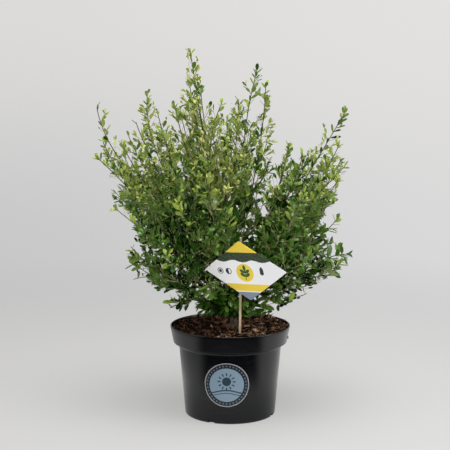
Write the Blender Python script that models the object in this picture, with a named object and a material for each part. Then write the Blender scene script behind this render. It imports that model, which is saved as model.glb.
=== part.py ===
"""Potted japanese holly: nursery pot, soil, trunk, boughs, foliage, stick label and round sticker.

Metres, +Z up. The origin is the centre of the pot's underside, and the plant's front faces -Y.
Run with: blender --background --python part.py
"""

import math
import random
from collections import namedtuple

import bmesh
import bpy
import numpy as np
from mathutils import Matrix, Vector, noise
from mathutils.bvhtree import BVHTree
from mathutils.geometry import interpolate_bezier

UP = Vector((0, 0, 1))
SEAT_GAP = 0.0003

# Pot: a five-litre container with a deep rim band
POT_HEIGHT = 0.172
POT_RIM_RADIUS = 0.115
POT_BAND_FOOT_RADIUS = 0.1095
POT_BAND_HEIGHT = 0.031
POT_BODY_RADIUS = 0.0985
POT_SHOULDER_DROP = 0.038
POT_BASE_RADIUS = 0.087
POT_FOOT_ROUND = 0.003
POT_LIP_ROUND = 0.0012
POT_WALL = 0.0022
POT_FLOOR = 0.003
POT_SHOULDER_ROUND = 0.0035
POT_SIDES = 40
DRAIN_SLOTS = 4
DRAIN_SLOT_WIDTH = 0.012
DRAIN_SLOT_HEIGHT = 0.0055
DRAIN_SLOT_DEPTH = 0.014
DRAIN_FIRST_TURN = math.radians(-114)

# Soil, flat round the trunk and heaped a little at the right
SOIL_LEVEL = 0.166
SOIL_LUMP = 0.003
SOIL_HEAP = 0.005
SOIL_HEAP_TURN = math.radians(20)
SOIL_FLAT_RADIUS = 0.02
SOIL_LUMPS_PER_METRE = 38
SOIL_RINGS = 6
SOIL_CLEARANCE = 0.0005
SOIL_EDGE_INSET = 0.0025

# Trunk
TRUNK_FOOT = Vector((0.008, 0.0, SOIL_LEVEL + SEAT_GAP))
TRUNK_LENGTH = 0.036
TRUNK_LEAN = Vector((-0.10, 0.03, 1.0)).normalized()
TRUNK_FORK_RADIUS = 0.0062
TRUNK_FLARE = 0.0058
TRUNK_FLARE_HEIGHT = 0.007
TRUNK_BUTTRESSES = 3
TRUNK_BUTTRESS_DEPTH = 0.16
TRUNK_STEPS = (0.0, 0.12, 0.3, 0.62, 0.9, 1.0)
TRUNK_TOP_ROUND = 0.62
TRUNK_SIDES = 10

# Boughs: level ones leave the trunk lower down than steep ones
BOUGH_FOOT_RADIUS = 0.0036
BOUGH_TIP_RADIUS = 0.0027
BOUGH_LONGEST = 0.062
BOUGH_SHARE = 0.36
BOUGH_SIDES = 5
BOUGH_POINTS = 6
BOUGH_LOWEST_FOOT = 0.42
BOUGH_FOOT_CLIMB = 0.5
BOUGH_BOW = 0.16
BOUGH_BOW_PLACES = (0.35, 0.7)
BOUGH_BOW_FADE = 0.6

# Leading shoots, one to a mass of foliage, and the twigs and leaves on them
LEADER_FOOT_RADIUS = 0.0017
LEADER_TIP_RADIUS = 0.0009
LEADER_START_SHARE = 0.3
LEADER_END_SHARE = 0.35
LEADER_RISE = 0.55
LEADER_STRAIGHT = 0.0025
LEADER_SEGMENT = 0.045
LEADER_SHORT_OF_TIP = 0.01
FORK_SPREAD = 0.006
TWIG_SIDES = 3
TWIG_FOOT_RADIUS = 0.0012
TWIG_KNEE_RADIUS = 0.0010
TWIG_STEP = 0.052
TWIG_ANGLE = math.radians(48)
TWIG_RISE = 0.55
TWIG_SHORTEST = 0.014
TWIG_SECOND_TRY = 0.6
TWIG_LONG_HALF = 0.023
TWIG_FULL_REACH_SHARE = 0.42
TWIG_VARIATION = (0.85, 1.1)
GOLDEN_TURN = math.radians(137.5)
SPIRE_SHARE = 0.26
SPIRE_LONGEST = 0.075
SPIRE_TWIG_OVERLAP = 0.55
FOLIAGE_START = 0.016
LEAF_LENGTH = 0.040
LEAF_WIDTH = 0.021
LEAF_THICKNESS = 0.0011
LEAF_FOLD = 0.0014
LEAF_WIDEST = 0.56
LEAF_RIDGE = 0.45
LEAF_SMALLEST = 0.62
LEAF_LARGEST_IN_SPIRE = 0.95
LEAF_STEP = 0.021
LEAF_ANGLE = math.radians(46)
LEAF_FACES_UP = 0.6
LEAF_ROOT_DEPTH = 0.0004
LEAF_ROOT_FREE = 0.004
LEAF_SWERVES = (0.0, 0.8, -0.8)
TIP_LEAF_OVERHANG = 0.9
TIP_LEAF_SINK = 0.001
FOLIAGE_FLOOR = POT_HEIGHT + 0.004
CLEARANCE = 0.0006
SEED = 7

# Sight lines that stay open, seen from a standing place in front of the plant
VIEW_PLACE = Vector((-0.01, -2.0, 0.608))
SKY_GAPS = (
    (Vector((0.045, 0.0, 0.425)), 0.017),
    (Vector((0.060, 0.0, 0.385)), 0.012),
    (Vector((0.028, 0.0, 0.455)), 0.010),
    (Vector((0.136, 0.0, 0.482)), 0.008),
)

# Label: a diamond card on a bamboo stick
STICK_FOOT = Vector((0.018, -0.0474, 0.115))
STICK_TILT = math.radians(20)
STICK_LEAN = Vector((0.0, -math.sin(STICK_TILT), math.cos(STICK_TILT)))
STICK_BURIED = (SOIL_LEVEL - STICK_FOOT.z) / STICK_LEAN.z
STICK_ABOVE_SOIL = 0.205
STICK_WIDTH = 0.0046
STICK_DEPTH = 0.003
CARD_UP = 0.141
CARD_SIDE = 0.0106
CARD_TURN = math.radians(30)
CARD_ROLL = math.radians(13.4)
CARD_HALF_WIDTH = 0.086
CARD_HALF_HEIGHT = 0.059
CARD_THICKNESS = 0.0008
CARD_VIEW_MARGIN = 1.06
CARD_FREE_DEPTH = 0.006

# Round sticker on the pot's front
STICKER_RADIUS = 0.0425
STICKER_HEIGHT = 0.077
STICKER_SIDE = -0.007
STICKER_THICKNESS = 0.0004
STICKER_GAP = 0.0008
STICKER_RINGS = 3
STICKER_SPOKES = 24

Shoot = namedtuple("Shoot", "name bough turn reach height spread")

# Tip of each leading shoot: the bough it grows from, its turn round the pot's axis in degrees
# from +X, its reach from that axis, its height above the floor, and the length of its twigs
SHOOTS = (
    Shoot("left_low_back", "left_low", 155, 0.216, 0.242, 0.042),
    Shoot("left_low", "left_low", -157, 0.201, 0.337, 0.046),
    Shoot("left_low_front", "left_low", -144, 0.151, 0.237, 0.038),
    Shoot("left_mid_back", "left_mid", 157, 0.255, 0.426, 0.050),
    Shoot("left_mid_front", "left_mid", -150, 0.240, 0.411, 0.050),
    Shoot("left_outer", "left_mid", -166, 0.255, 0.499, 0.046),
    Shoot("left_high_outer", "left_high", 175, 0.255, 0.591, 0.044),
    Shoot("left_high", "left_high", 151, 0.185, 0.618, 0.050),
    Shoot("left_high_front", "left_high", -139, 0.167, 0.563, 0.050),
    Shoot("top", "top_left", 180, 0.076, 0.700, 0.046),
    Shoot("top_back", "top_left", 135, 0.142, 0.592, 0.050),
    Shoot("top_front", "top_left", -99, 0.091, 0.599, 0.042),
    Shoot("heart", "top_left", 128, 0.025, 0.487, 0.050),
    Shoot("top_right_back", "top_right", 56, 0.097, 0.664, 0.044),
    Shoot("top_right", "top_right", -43, 0.088, 0.633, 0.042),
    Shoot("right_high", "right_high", 8, 0.226, 0.586, 0.044),
    Shoot("right_high_front", "right_high", -21, 0.225, 0.484, 0.044),
    Shoot("right_high_inner", "right_high", -31, 0.155, 0.507, 0.044),
    Shoot("right_mid_back", "right_mid", 26, 0.231, 0.422, 0.048),
    Shoot("right_mid", "right_mid", 0, 0.211, 0.387, 0.044),
    Shoot("right_low", "right_low", -15, 0.237, 0.315, 0.044),
    Shoot("right_low_back", "right_low", 18, 0.229, 0.252, 0.042),
    Shoot("right_low_front", "right_low", -34, 0.142, 0.235, 0.036),
    Shoot("front_left", "front_left", -106, 0.166, 0.489, 0.050),
    Shoot("front_left_mid", "front_left", -116, 0.211, 0.431, 0.050),
    Shoot("front_centre", "front_left", -92, 0.140, 0.417, 0.044),
    Shoot("front_left_low", "front_left_low", -124, 0.205, 0.337, 0.048),
    Shoot("front_low", "front_left_low", -108, 0.137, 0.277, 0.040),
    Shoot("front_right", "front_right", -53, 0.213, 0.446, 0.048),
    Shoot("front_right_low", "front_right", -50, 0.235, 0.346, 0.048),
    Shoot("back_left", "back_left", 117, 0.202, 0.498, 0.052),
    Shoot("back_left_mid", "back_left", 133, 0.244, 0.394, 0.052),
    Shoot("back_left_low", "back_low", 115, 0.221, 0.266, 0.048),
    Shoot("back_centre", "back_centre", 86, 0.200, 0.413, 0.052),
    Shoot("back_low", "back_low", 75, 0.207, 0.261, 0.048),
    Shoot("back_right", "back_right", 53, 0.239, 0.425, 0.052),
    Shoot("back_right_low", "back_right", 42, 0.253, 0.312, 0.050),
    Shoot("back_right_high", "back_right", 45, 0.168, 0.509, 0.048),
)


def clear_scene():
    """Empty the file of whatever objects it opened with."""
    for old in list(bpy.data.objects):
        bpy.data.objects.remove(old, do_unlink=True)


def finish(name, colour, roughness, metallic=0.0):
    """A Principled material with one colour."""
    material = bpy.data.materials.new(name)
    material.use_nodes = True
    shader = material.node_tree.nodes["Principled BSDF"]
    shader.inputs["Base Color"].default_value = (*colour, 1.0)
    shader.inputs["Roughness"].default_value = roughness
    shader.inputs["Metallic"].default_value = metallic
    return material


def make_object(name, bm, material=None):
    """Turn a bmesh into an object of the scene, and free the bmesh."""
    mesh = bpy.data.meshes.new(name)
    bm.to_mesh(mesh)
    bm.free()
    if material:
        mesh.materials.append(material)
    made = bpy.data.objects.new(name, mesh)
    bpy.context.scene.collection.objects.link(made)
    return made


def make_cutter(name, bm):
    """An object that only cuts others, so it isn't rendered."""
    cutter = make_object(name, bm)
    cutter.hide_render = True
    cutter.display_type = "WIRE"
    return cutter


def cut(target, cutter):
    """Take one object's shape out of another."""
    boolean = target.modifiers.new(cutter.name, "BOOLEAN")
    boolean.operation = "DIFFERENCE"
    boolean.solver = "EXACT"
    boolean.object = cutter


def apply_modifiers(target):
    """Replace an object's mesh by what its modifiers make of it."""
    graph = bpy.context.evaluated_depsgraph_get()
    made = bpy.data.meshes.new_from_object(target.evaluated_get(graph))
    target.modifiers.clear()
    target.data = made


def islands(bm):
    """The bmesh's separate pieces, each as a list of vertices."""
    unseen = set(bm.verts)
    pieces = []
    while unseen:
        front = [unseen.pop()]
        piece = list(front)
        while front:
            for edge in front.pop().link_edges:
                for vert in edge.verts:
                    if vert in unseen:
                        unseen.remove(vert)
                        front.append(vert)
                        piece.append(vert)
        pieces.append(piece)
    return pieces


def keep_main_piece(target):
    """Drop loose scraps and sealed hollows, which leaves one body."""
    bm = bmesh.new()
    bm.from_mesh(target.data)
    bmesh.ops.triangulate(bm, faces=bm.faces[:])
    pieces = sorted(islands(bm), key=len)
    for scrap in pieces[:-1]:
        bmesh.ops.delete(bm, geom=scrap, context="VERTS")
    bm.to_mesh(target.data)
    bm.free()


def frames_along(points):
    """A matrix at each point, with Z along the line and no twist from one to the next."""
    points = [Vector(point) for point in points]
    frames = []
    side = None
    for index, point in enumerate(points):
        before = points[max(index - 1, 0)]
        after = points[min(index + 1, len(points) - 1)]
        ahead = (after - before).normalized()
        if side is None:
            side = ahead.orthogonal()
        side = (side - ahead * side.dot(ahead)).normalized()
        turn = Matrix((side, ahead.cross(side), ahead)).transposed().to_4x4()
        frames.append(Matrix.Translation(point) @ turn)
    return frames


def tube(points, radii, sides):
    """A closed tapering tube through the points, as a bmesh. A last radius of 0 is a sharp end."""
    bm = bmesh.new()
    rings = []
    for frame, radius in zip(frames_along(points), radii):
        if radius == 0:
            break
        circle = bmesh.ops.create_circle(bm, segments=sides, radius=radius, matrix=frame)
        rings.append(circle["verts"])
    for low, high in zip(rings, rings[1:]):
        for index in range(sides):
            after = (index + 1) % sides
            bm.faces.new((low[index], low[after], high[after], high[index]))
    bm.faces.new(list(reversed(rings[0])))
    end = bm.faces.new(rings[-1])
    if radii[-1] == 0:
        spike = bmesh.ops.poke(bm, faces=[end])["verts"][0]
        spike.co = points[-1]
    return bm


def taper(start, end, count):
    """Evenly spaced radii from the first to the last."""
    return [start + (end - start) * step / (count - 1) for step in range(count)]


def turned(profile, sides):
    """A solid of revolution whose profile runs from the axis round to the axis, as a bmesh."""
    bm = bmesh.new()
    verts = [bm.verts.new((radius, 0, height)) for radius, height in profile]
    edges = [bm.edges.new(pair) for pair in zip(verts, verts[1:])]
    bmesh.ops.spin(
        bm,
        geom=verts + edges,
        cent=(0, 0, 0),
        axis=(0, 0, 1),
        angle=math.tau,
        steps=sides,
        use_merge=True,
    )
    bmesh.ops.remove_doubles(bm, verts=bm.verts[:], dist=1e-6)
    bmesh.ops.recalc_face_normals(bm, faces=bm.faces[:])
    return bm


def arc(centre, radius, start, end, steps):
    """Points of an arc in a profile, angles in degrees."""
    turns = [math.radians(start + (end - start) * step / steps) for step in range(steps + 1)]
    return [(centre[0] + radius * math.cos(t), centre[1] + radius * math.sin(t)) for t in turns]


def pot_inner_profile(offset):
    """The pot's inner wall from floor to lip, moved inwards by the offset."""
    inset = POT_WALL + offset
    return [
        (POT_BASE_RADIUS - inset, POT_FLOOR + offset),
        (POT_BODY_RADIUS - inset, POT_HEIGHT - POT_SHOULDER_DROP),
        (POT_BAND_FOOT_RADIUS - inset, POT_HEIGHT - POT_BAND_HEIGHT),
    ]


def make_pot(material):
    """A thin-walled pot with a deep rim band and drainage slots at the foot."""
    foot = arc((POT_BASE_RADIUS - POT_FOOT_ROUND, POT_FOOT_ROUND), POT_FOOT_ROUND, -90, 0, 2)
    lip = arc(
        (POT_RIM_RADIUS - POT_LIP_ROUND, POT_HEIGHT - POT_LIP_ROUND), POT_LIP_ROUND, 0, 90, 2
    )
    shoulder_height = POT_HEIGHT - POT_BAND_HEIGHT
    outer = [
        (0, 0),
        *foot,
        (POT_BODY_RADIUS, POT_HEIGHT - POT_SHOULDER_DROP),
        ((POT_BODY_RADIUS + POT_BAND_FOOT_RADIUS) / 2, shoulder_height - POT_SHOULDER_ROUND),
        (POT_BAND_FOOT_RADIUS, shoulder_height),
        *lip,
    ]
    inner = [(POT_RIM_RADIUS - POT_WALL, POT_HEIGHT), *reversed(pot_inner_profile(0))]
    pot = make_object("pot", turned([*outer, *inner, (0, POT_FLOOR)], POT_SIDES), material)
    slots = bmesh.new()
    for slot in range(DRAIN_SLOTS):
        turn = Matrix.Rotation(DRAIN_FIRST_TURN + slot * math.tau / DRAIN_SLOTS, 4, "Z")
        size = Matrix.Diagonal((DRAIN_SLOT_DEPTH, DRAIN_SLOT_WIDTH, 2 * DRAIN_SLOT_HEIGHT, 1))
        bmesh.ops.create_cube(
            slots, size=1, matrix=turn @ Matrix.Translation((POT_BASE_RADIUS, 0, 0)) @ size
        )
    cut(pot, make_cutter("drain_cutter", slots))
    return pot


def soil_height(x, y):
    """Height of the soil's surface: flat round the trunk, lumpy and heaped beyond."""
    distance = math.hypot(x - TRUNK_FOOT.x, y - TRUNK_FOOT.y)
    fade = min(max((distance - SOIL_FLAT_RADIUS) / SOIL_FLAT_RADIUS, 0.0), 1.0)
    lump = SOIL_LUMP * noise.noise(Vector((x, y, 0)) * SOIL_LUMPS_PER_METRE + UP * SEED)
    toward_heap = math.cos(math.atan2(y, x) - SOIL_HEAP_TURN)
    heap = SOIL_HEAP * max(toward_heap, 0.0) ** 2 * math.hypot(x, y) / POT_RIM_RADIUS
    return SOIL_LEVEL + fade * (lump + heap)


def make_soil(material):
    """The soil that fills the pot, with a slot where the label's stick goes in."""
    side = pot_inner_profile(SOIL_CLEARANCE)
    edge = POT_RIM_RADIUS - POT_WALL - SOIL_EDGE_INSET
    rings = [(edge * ring / SOIL_RINGS, SOIL_LEVEL) for ring in range(SOIL_RINGS, 0, -1)]
    bm = turned([(0, side[0][1]), *side, *rings, (0, SOIL_LEVEL)], POT_SIDES // 2)
    for vert in bm.verts:
        if vert.co.z > SOIL_LEVEL - 1e-4:
            vert.co.z = soil_height(vert.co.x, vert.co.y)
    bmesh.ops.triangulate(bm, faces=bm.faces[:])
    soil = make_object("soil", bm, material)
    cut(soil, make_cutter("stick_hole_cutter", stick_shape(SEAT_GAP)))
    return soil


def trunk_shape(extra):
    """The trunk from its flared foot to its blunt fork, fattened by extra."""
    points = [TRUNK_FOOT + TRUNK_LEAN * TRUNK_LENGTH * step for step in TRUNK_STEPS]
    points[-1] += TRUNK_LEAN * extra
    radii = []
    for step in TRUNK_STEPS:
        flare = TRUNK_FLARE * math.exp(-step * TRUNK_LENGTH / TRUNK_FLARE_HEIGHT)
        radii.append(TRUNK_FORK_RADIUS * (1.1 - 0.1 * step) + flare + extra)
    radii[-1] *= TRUNK_TOP_ROUND
    bm = tube(points, radii, TRUNK_SIDES)
    for vert in bm.verts:
        out = vert.co - TRUNK_FOOT
        height = out.dot(TRUNK_LEAN)
        swell = TRUNK_BUTTRESS_DEPTH * math.exp(-max(height, 0) / TRUNK_FLARE_HEIGHT)
        swell *= math.cos(TRUNK_BUTTRESSES * math.atan2(out.y, out.x))
        vert.co.x += (vert.co.x - TRUNK_FOOT.x) * swell
        vert.co.y += (vert.co.y - TRUNK_FOOT.y) * swell
        if height < 1e-3:
            vert.co.z = TRUNK_FOOT.z
    return bm


def shoot_tip(shoot):
    """The furthest point that a shoot reaches."""
    turn = math.radians(shoot.turn)
    return Vector((shoot.reach * math.cos(turn), shoot.reach * math.sin(turn), shoot.height))


def bough_line(name):
    """Points of a bough from inside the trunk to its tip."""
    tips = [shoot_tip(shoot) for shoot in SHOOTS if shoot.bough == name]
    fork = TRUNK_FOOT + TRUNK_LEAN * TRUNK_LENGTH
    heading = sum(((tip - fork).normalized() for tip in tips), Vector()).normalized()
    length = min(BOUGH_LONGEST, BOUGH_SHARE * min((tip - fork).length for tip in tips))
    climb = BOUGH_LOWEST_FOOT + BOUGH_FOOT_CLIMB * heading.z
    start = TRUNK_FOOT + TRUNK_LEAN * TRUNK_LENGTH * climb
    end = fork + heading * length
    bow = (heading - UP * heading.z) * length * BOUGH_BOW
    first = start.lerp(end, BOUGH_BOW_PLACES[0]) + bow
    second = start.lerp(end, BOUGH_BOW_PLACES[1]) + bow * BOUGH_BOW_FADE
    return interpolate_bezier(start, first, second, end, BOUGH_POINTS)


def spread_apart(places, least):
    """Push points in a plane apart until each pair is the least distance from each other."""
    places = [Vector(place) for place in places]
    for _ in range(200):
        for first in range(len(places)):
            for second in range(first):
                between = places[first] - places[second]
                lack = least - between.length
                if lack > 0:
                    push = between.normalized() * (lack / 2 + 1e-5)
                    places[first] += push
                    places[second] -= push
    return places


def leader_foot(shoot, bough):
    """Where a shoot starts in front of its bough's tip, beside the others that start there."""
    ahead = (bough[-1] - bough[-2]).normalized()
    mates = [other for other in SHOOTS if other.bough == shoot.bough]
    offsets = []
    for mate in mates:
        out = (shoot_tip(mate) - bough[-1]).normalized() * FORK_SPREAD
        offsets.append(out - ahead * out.dot(ahead))
    offsets = spread_apart(offsets, 2 * LEADER_FOOT_RADIUS + 2 * SEAT_GAP)
    centre = sum(offsets, Vector()) / len(offsets)
    return bough[-1] + ahead * SEAT_GAP + offsets[mates.index(shoot)] - centre, ahead


def leader_line(shoot, bough):
    """Points of a leading shoot from its foot to its tip, curving upwards."""
    foot, ahead = leader_foot(shoot, bough)
    start = foot + ahead * LEADER_STRAIGHT
    tip = shoot_tip(shoot)
    length = (tip - start).length
    heading = (tip - start).normalized()
    rise = (heading + UP * LEADER_RISE).normalized()
    curve = interpolate_bezier(
        start,
        start + (ahead + heading) * length * LEADER_START_SHARE / 2,
        tip - rise * length * LEADER_END_SHARE,
        tip,
        max(4, round(length / LEADER_SEGMENT)) + 1,
    )
    return [foot, *curve]


class Line:
    """A polyline that is read by the distance along it."""

    def __init__(self, points):
        self.points = [Vector(point) for point in points]
        self.marks = [0.0]
        for start, end in zip(self.points, self.points[1:]):
            self.marks.append(self.marks[-1] + (end - start).length)
        self.length = self.marks[-1]

    def at(self, distance):
        """The point and the heading at a distance from the foot."""
        for index, mark in enumerate(self.marks[1:]):
            if distance <= mark or index == len(self.marks) - 2:
                start, end = self.points[index], self.points[index + 1]
                share = (distance - self.marks[index]) / (mark - self.marks[index])
                return start.lerp(end, share), (end - start).normalized()

    def dense(self, step):
        """Points along the line, no further apart than the step."""
        count = max(2, math.ceil(self.length / step) + 1)
        return [self.at(self.length * index / (count - 1))[0] for index in range(count)]


class Room:
    """The space between the plant's pieces, and what already stands in it."""

    def __init__(self, leaders):
        self.owners = list(leaders)
        self.points = [np.array(line.dense(0.005)) for line in leaders.values()]
        self.solids = []

    def add_solid(self, owner, bm):
        """Remember a solid that nobody else's leaf may touch."""
        self.solids.append((owner, BVHTree.FromBMesh(bm)))

    def is_own(self, owner, place):
        """Whether a place is nearer to its owner's shoot than to any other."""
        place = np.array(place)
        distances = [np.linalg.norm(points - place, axis=1).min() for points in self.points]
        return self.owners[int(np.argmin(distances))] == owner

    def touches(self, owner, bm):
        """Whether a shape runs into a solid that isn't its owner's."""
        tree = BVHTree.FromBMesh(bm)
        return any(other != owner and tree.overlap(solid) for other, solid in self.solids)


def in_sky_gap(place):
    """Whether a place lies on one of the sight lines that stay open."""
    for centre, radius in SKY_GAPS:
        sight = (centre - VIEW_PLACE).normalized()
        out = place - VIEW_PLACE
        if (out - sight * out.dot(sight)).length < radius:
            return True
    return False


def card_axes():
    """Centre of the card's back, and its directions across, up and out to the front."""
    across = Matrix.Rotation(-CARD_TURN, 3, STICK_LEAN) @ Vector((1, 0, 0))
    front = across.cross(STICK_LEAN)
    stick_corner = math.hypot(STICK_WIDTH, STICK_DEPTH) / 2
    centre = STICK_FOOT + STICK_LEAN * (STICK_BURIED + CARD_UP)
    centre += across * CARD_SIDE + front * (stick_corner + SEAT_GAP)
    up = STICK_LEAN * math.cos(CARD_ROLL) - across * math.sin(CARD_ROLL)
    return centre, up.cross(front), up, front


def hides_card(place):
    """Whether a place stands before the card, as seen from the front, or runs into it."""
    centre, across, up, front = card_axes()
    ahead = (place - centre).dot(front)
    if ahead < -CARD_FREE_DEPTH:
        return False
    share = 1.0
    if ahead > CARD_FREE_DEPTH:
        share = (centre - VIEW_PLACE).dot(front) / (place - VIEW_PLACE).dot(front)
    out = VIEW_PLACE + (place - VIEW_PLACE) * share - centre
    return (
        abs(out.dot(across)) / CARD_HALF_WIDTH + abs(out.dot(up)) / CARD_HALF_HEIGHT
        < CARD_VIEW_MARGIN
    )


def is_open_place(place):
    """Whether foliage may stand at a place, whoever owns it."""
    return place.z > FOLIAGE_FLOOR and not in_sky_gap(place) and not hides_card(place)


def leaf_shape(root, heading, face_up, size, extra=0.0):
    """A leaf folded along its midrib, with its root point at root, as a bmesh."""
    across = heading.cross(face_up).normalized()
    normal = across.cross(heading)
    length = LEAF_LENGTH * size
    half = LEAF_WIDTH * size / 2 + extra
    middle = root + heading * length * LEAF_WIDEST
    bm = bmesh.new()
    base = bm.verts.new(root)
    tip = bm.verts.new(root + heading * (length + extra))
    right = bm.verts.new(middle + across * half + normal * LEAF_FOLD * size)
    left = bm.verts.new(middle - across * half + normal * LEAF_FOLD * size)
    ridge = root + heading * length * LEAF_RIDGE
    top = bm.verts.new(ridge + normal * (LEAF_THICKNESS + extra))
    ring = (base, right, tip, left)
    for index, vert in enumerate(ring):
        bm.faces.new((vert, ring[(index + 1) % 4], top))
    bm.faces.new((base, tip, right))
    bm.faces.new((base, left, tip))
    if extra:
        bmesh.ops.translate(bm, verts=[v for v in bm.verts if v is not top], vec=-normal * extra)
    return bm


class Mass:
    """One mass of foliage: a leading shoot, its twigs and their leaves."""

    def __init__(self, shoot, line, room):
        self.shoot = shoot
        self.line = line
        self.room = room
        self.name = f"foliage_{shoot.name}"
        self.spire = min(SPIRE_LONGEST, SPIRE_SHARE * line.length)
        self.random = random.Random(f"{SEED} {shoot.name}")
        self.shapes = []
        self.leaf_trees = []

    def fits(self, bm, places):
        """Whether a shape keeps to the mass's own space."""
        for place in places:
            if not self.room.is_own(self.shoot.name, place) or not is_open_place(place):
                return False
        return not self.room.touches(self.shoot.name, bm)

    def add_leaf(self, node, heading, face_up, size):
        """Fuse on a leaf that grows at a node, if there is room for it."""
        root = node - heading * LEAF_ROOT_DEPTH
        test = leaf_shape(root, heading, face_up, size, CLEARANCE)
        places = [vert.co for vert in test.verts if (vert.co - root).length > LEAF_ROOT_FREE]
        tree = BVHTree.FromBMesh(test)
        fits = self.fits(test, places) and not any(tree.overlap(leaf) for leaf in self.leaf_trees)
        if fits:
            self.shapes.append(leaf_shape(root, heading, face_up, size))
            self.leaf_trees.append(tree)
        test.free()
        return fits

    def leaf_heading(self, heading, turn):
        """Direction of a side leaf at a turn round its stem."""
        side = Matrix.Rotation(turn, 3, heading) @ heading.orthogonal().normalized()
        return heading * math.cos(LEAF_ANGLE) + side * math.sin(LEAF_ANGLE)

    def add_side_leaf(self, node, heading, turn, size):
        """A leaf at the side of a stem, with its face turned up the stem."""
        for swerve in LEAF_SWERVES:
            out = self.leaf_heading(heading, turn + swerve)
            if self.add_leaf(node, out, heading + UP * LEAF_FACES_UP, size):
                return

    def twig_reach(self, from_tip):
        """Length of the twigs at a distance below the shoot's tip."""
        below = from_tip - self.spire * SPIRE_TWIG_OVERLAP
        grown = below / (self.line.length * TWIG_FULL_REACH_SHARE)
        return self.shoot.spread * math.sqrt(min(max(grown, 0.0), 1.0))

    def add_twig(self, distance, turn):
        """A twig that leaves the shoot at an angle and bends upwards."""
        node, ahead = self.line.at(distance)
        side = Matrix.Rotation(turn, 3, ahead) @ ahead.orthogonal().normalized()
        first = ahead * math.cos(TWIG_ANGLE) + side * math.sin(TWIG_ANGLE)
        second = (first + UP * TWIG_RISE).normalized()
        reach = self.twig_reach(self.line.length - distance)
        reach *= self.random.uniform(*TWIG_VARIATION)
        for length in (reach, reach * TWIG_SECOND_TRY):
            if length < TWIG_SHORTEST:
                break
            knee = node + first * length / 2
            end = knee + second * length / 2
            line = (node, knee, end)
            radii = (TWIG_FOOT_RADIUS, TWIG_KNEE_RADIUS, 0)
            test = tube(line, [radius + CLEARANCE for radius in radii], TWIG_SIDES)
            free = self.fits(test, (knee, end))
            test.free()
            if free:
                self.shapes.append(tube(line, radii, TWIG_SIDES))
                self.dress_twig(line, first, second, turn)
                return

    def dress_twig(self, line, first, second, turn):
        """Leaves at a twig's tip, its knee and between."""
        node, knee, end = line
        self.add_leaf(end.lerp(knee, 0.3), second, second.cross(first.cross(UP)), 0.9)
        self.add_side_leaf(end.lerp(knee, 0.45), second, turn + GOLDEN_TURN, 0.92)
        self.add_side_leaf(knee, first, turn + 2 * GOLDEN_TURN, 1.0)
        if (knee - node).length > TWIG_LONG_HALF:
            self.add_side_leaf(node.lerp(knee, 0.6), first, turn + 3 * GOLDEN_TURN, 1.0)

    def grow(self):
        """Make the leading shoot and everything on it."""
        line = self.line
        end = line.length - LEAF_LENGTH * LEAF_SMALLEST * TIP_LEAF_OVERHANG
        last = end - LEADER_SHORT_OF_TIP
        points = [place for place, mark in zip(line.points, line.marks) if mark < last]
        points.append(line.at(end)[0])
        radii = taper(LEADER_FOOT_RADIUS, LEADER_TIP_RADIUS, len(points))
        self.stem = tube(points, radii, TWIG_SIDES)
        point, heading = line.at(end)
        point -= heading * TIP_LEAF_SINK
        self.add_leaf(point, heading, heading.orthogonal(), LEAF_SMALLEST)
        turn = self.random.uniform(0, math.tau)
        distance = end - LEAF_STEP / 2
        while distance > end - self.spire:
            share = (end - distance) / SPIRE_LONGEST
            point, heading = line.at(distance)
            size = LEAF_SMALLEST + (LEAF_LARGEST_IN_SPIRE - LEAF_SMALLEST) * share
            self.add_side_leaf(point, heading, turn, size)
            turn += GOLDEN_TURN
            distance -= LEAF_STEP
        while distance > FOLIAGE_START:
            self.add_twig(distance, turn)
            point, heading = line.at(distance - TWIG_STEP / 2)
            self.add_side_leaf(point, heading, turn + GOLDEN_TURN * 1.5, 1.0)
            turn += GOLDEN_TURN
            distance -= TWIG_STEP

    def remember(self):
        """Tell the room about this mass, so that later ones stay clear of it."""
        for shape in self.shapes:
            self.room.add_solid(self.shoot.name, shape)

    def fuse(self, material):
        """Join the shoot, twigs and leaves into one solid."""
        stem = make_object(self.name, self.stem, material)
        group = bpy.data.collections.new(self.name)
        bpy.context.scene.collection.children.link(group)
        for index, shape in enumerate(self.shapes):
            piece = make_object(f"{self.name}_{index}", shape)
            bpy.context.scene.collection.objects.unlink(piece)
            group.objects.link(piece)
        union = stem.modifiers.new("fuse", "BOOLEAN")
        union.operation = "UNION"
        union.operand_type = "COLLECTION"
        union.solver = "EXACT"
        union.collection = group
        bpy.context.view_layer.update()
        apply_modifiers(stem)
        for piece in list(group.objects):
            bpy.data.objects.remove(piece, do_unlink=True)
        bpy.data.collections.remove(group)
        keep_main_piece(stem)
        return stem


def stick_shape(extra):
    """The label's stick, fattened by extra."""
    length = STICK_BURIED + STICK_ABOVE_SOIL
    grow = 2 * extra
    size = Matrix.Diagonal((STICK_WIDTH + grow, STICK_DEPTH + grow, length + grow, 1))
    turn = Matrix.Rotation(STICK_TILT, 4, "X")
    middle = Matrix.Translation(STICK_FOOT + STICK_LEAN * length / 2)
    bm = bmesh.new()
    bmesh.ops.create_cube(bm, size=1, matrix=middle @ turn @ size)
    return bm


def make_card(material):
    """The diamond card in front of the stick."""
    centre, across, up, front = card_axes()
    bm = bmesh.new()
    corners = (
        centre + up * CARD_HALF_HEIGHT,
        centre - across * CARD_HALF_WIDTH,
        centre - up * CARD_HALF_HEIGHT,
        centre + across * CARD_HALF_WIDTH,
    )
    face = bm.faces.new([bm.verts.new(corner) for corner in corners])
    grown = bmesh.ops.extrude_face_region(bm, geom=[face])
    fresh = [item for item in grown["geom"] if isinstance(item, bmesh.types.BMVert)]
    bmesh.ops.translate(bm, verts=fresh, vec=front * CARD_THICKNESS)
    bmesh.ops.recalc_face_normals(bm, faces=bm.faces[:])
    return make_object("label_card", bm, material)


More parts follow.
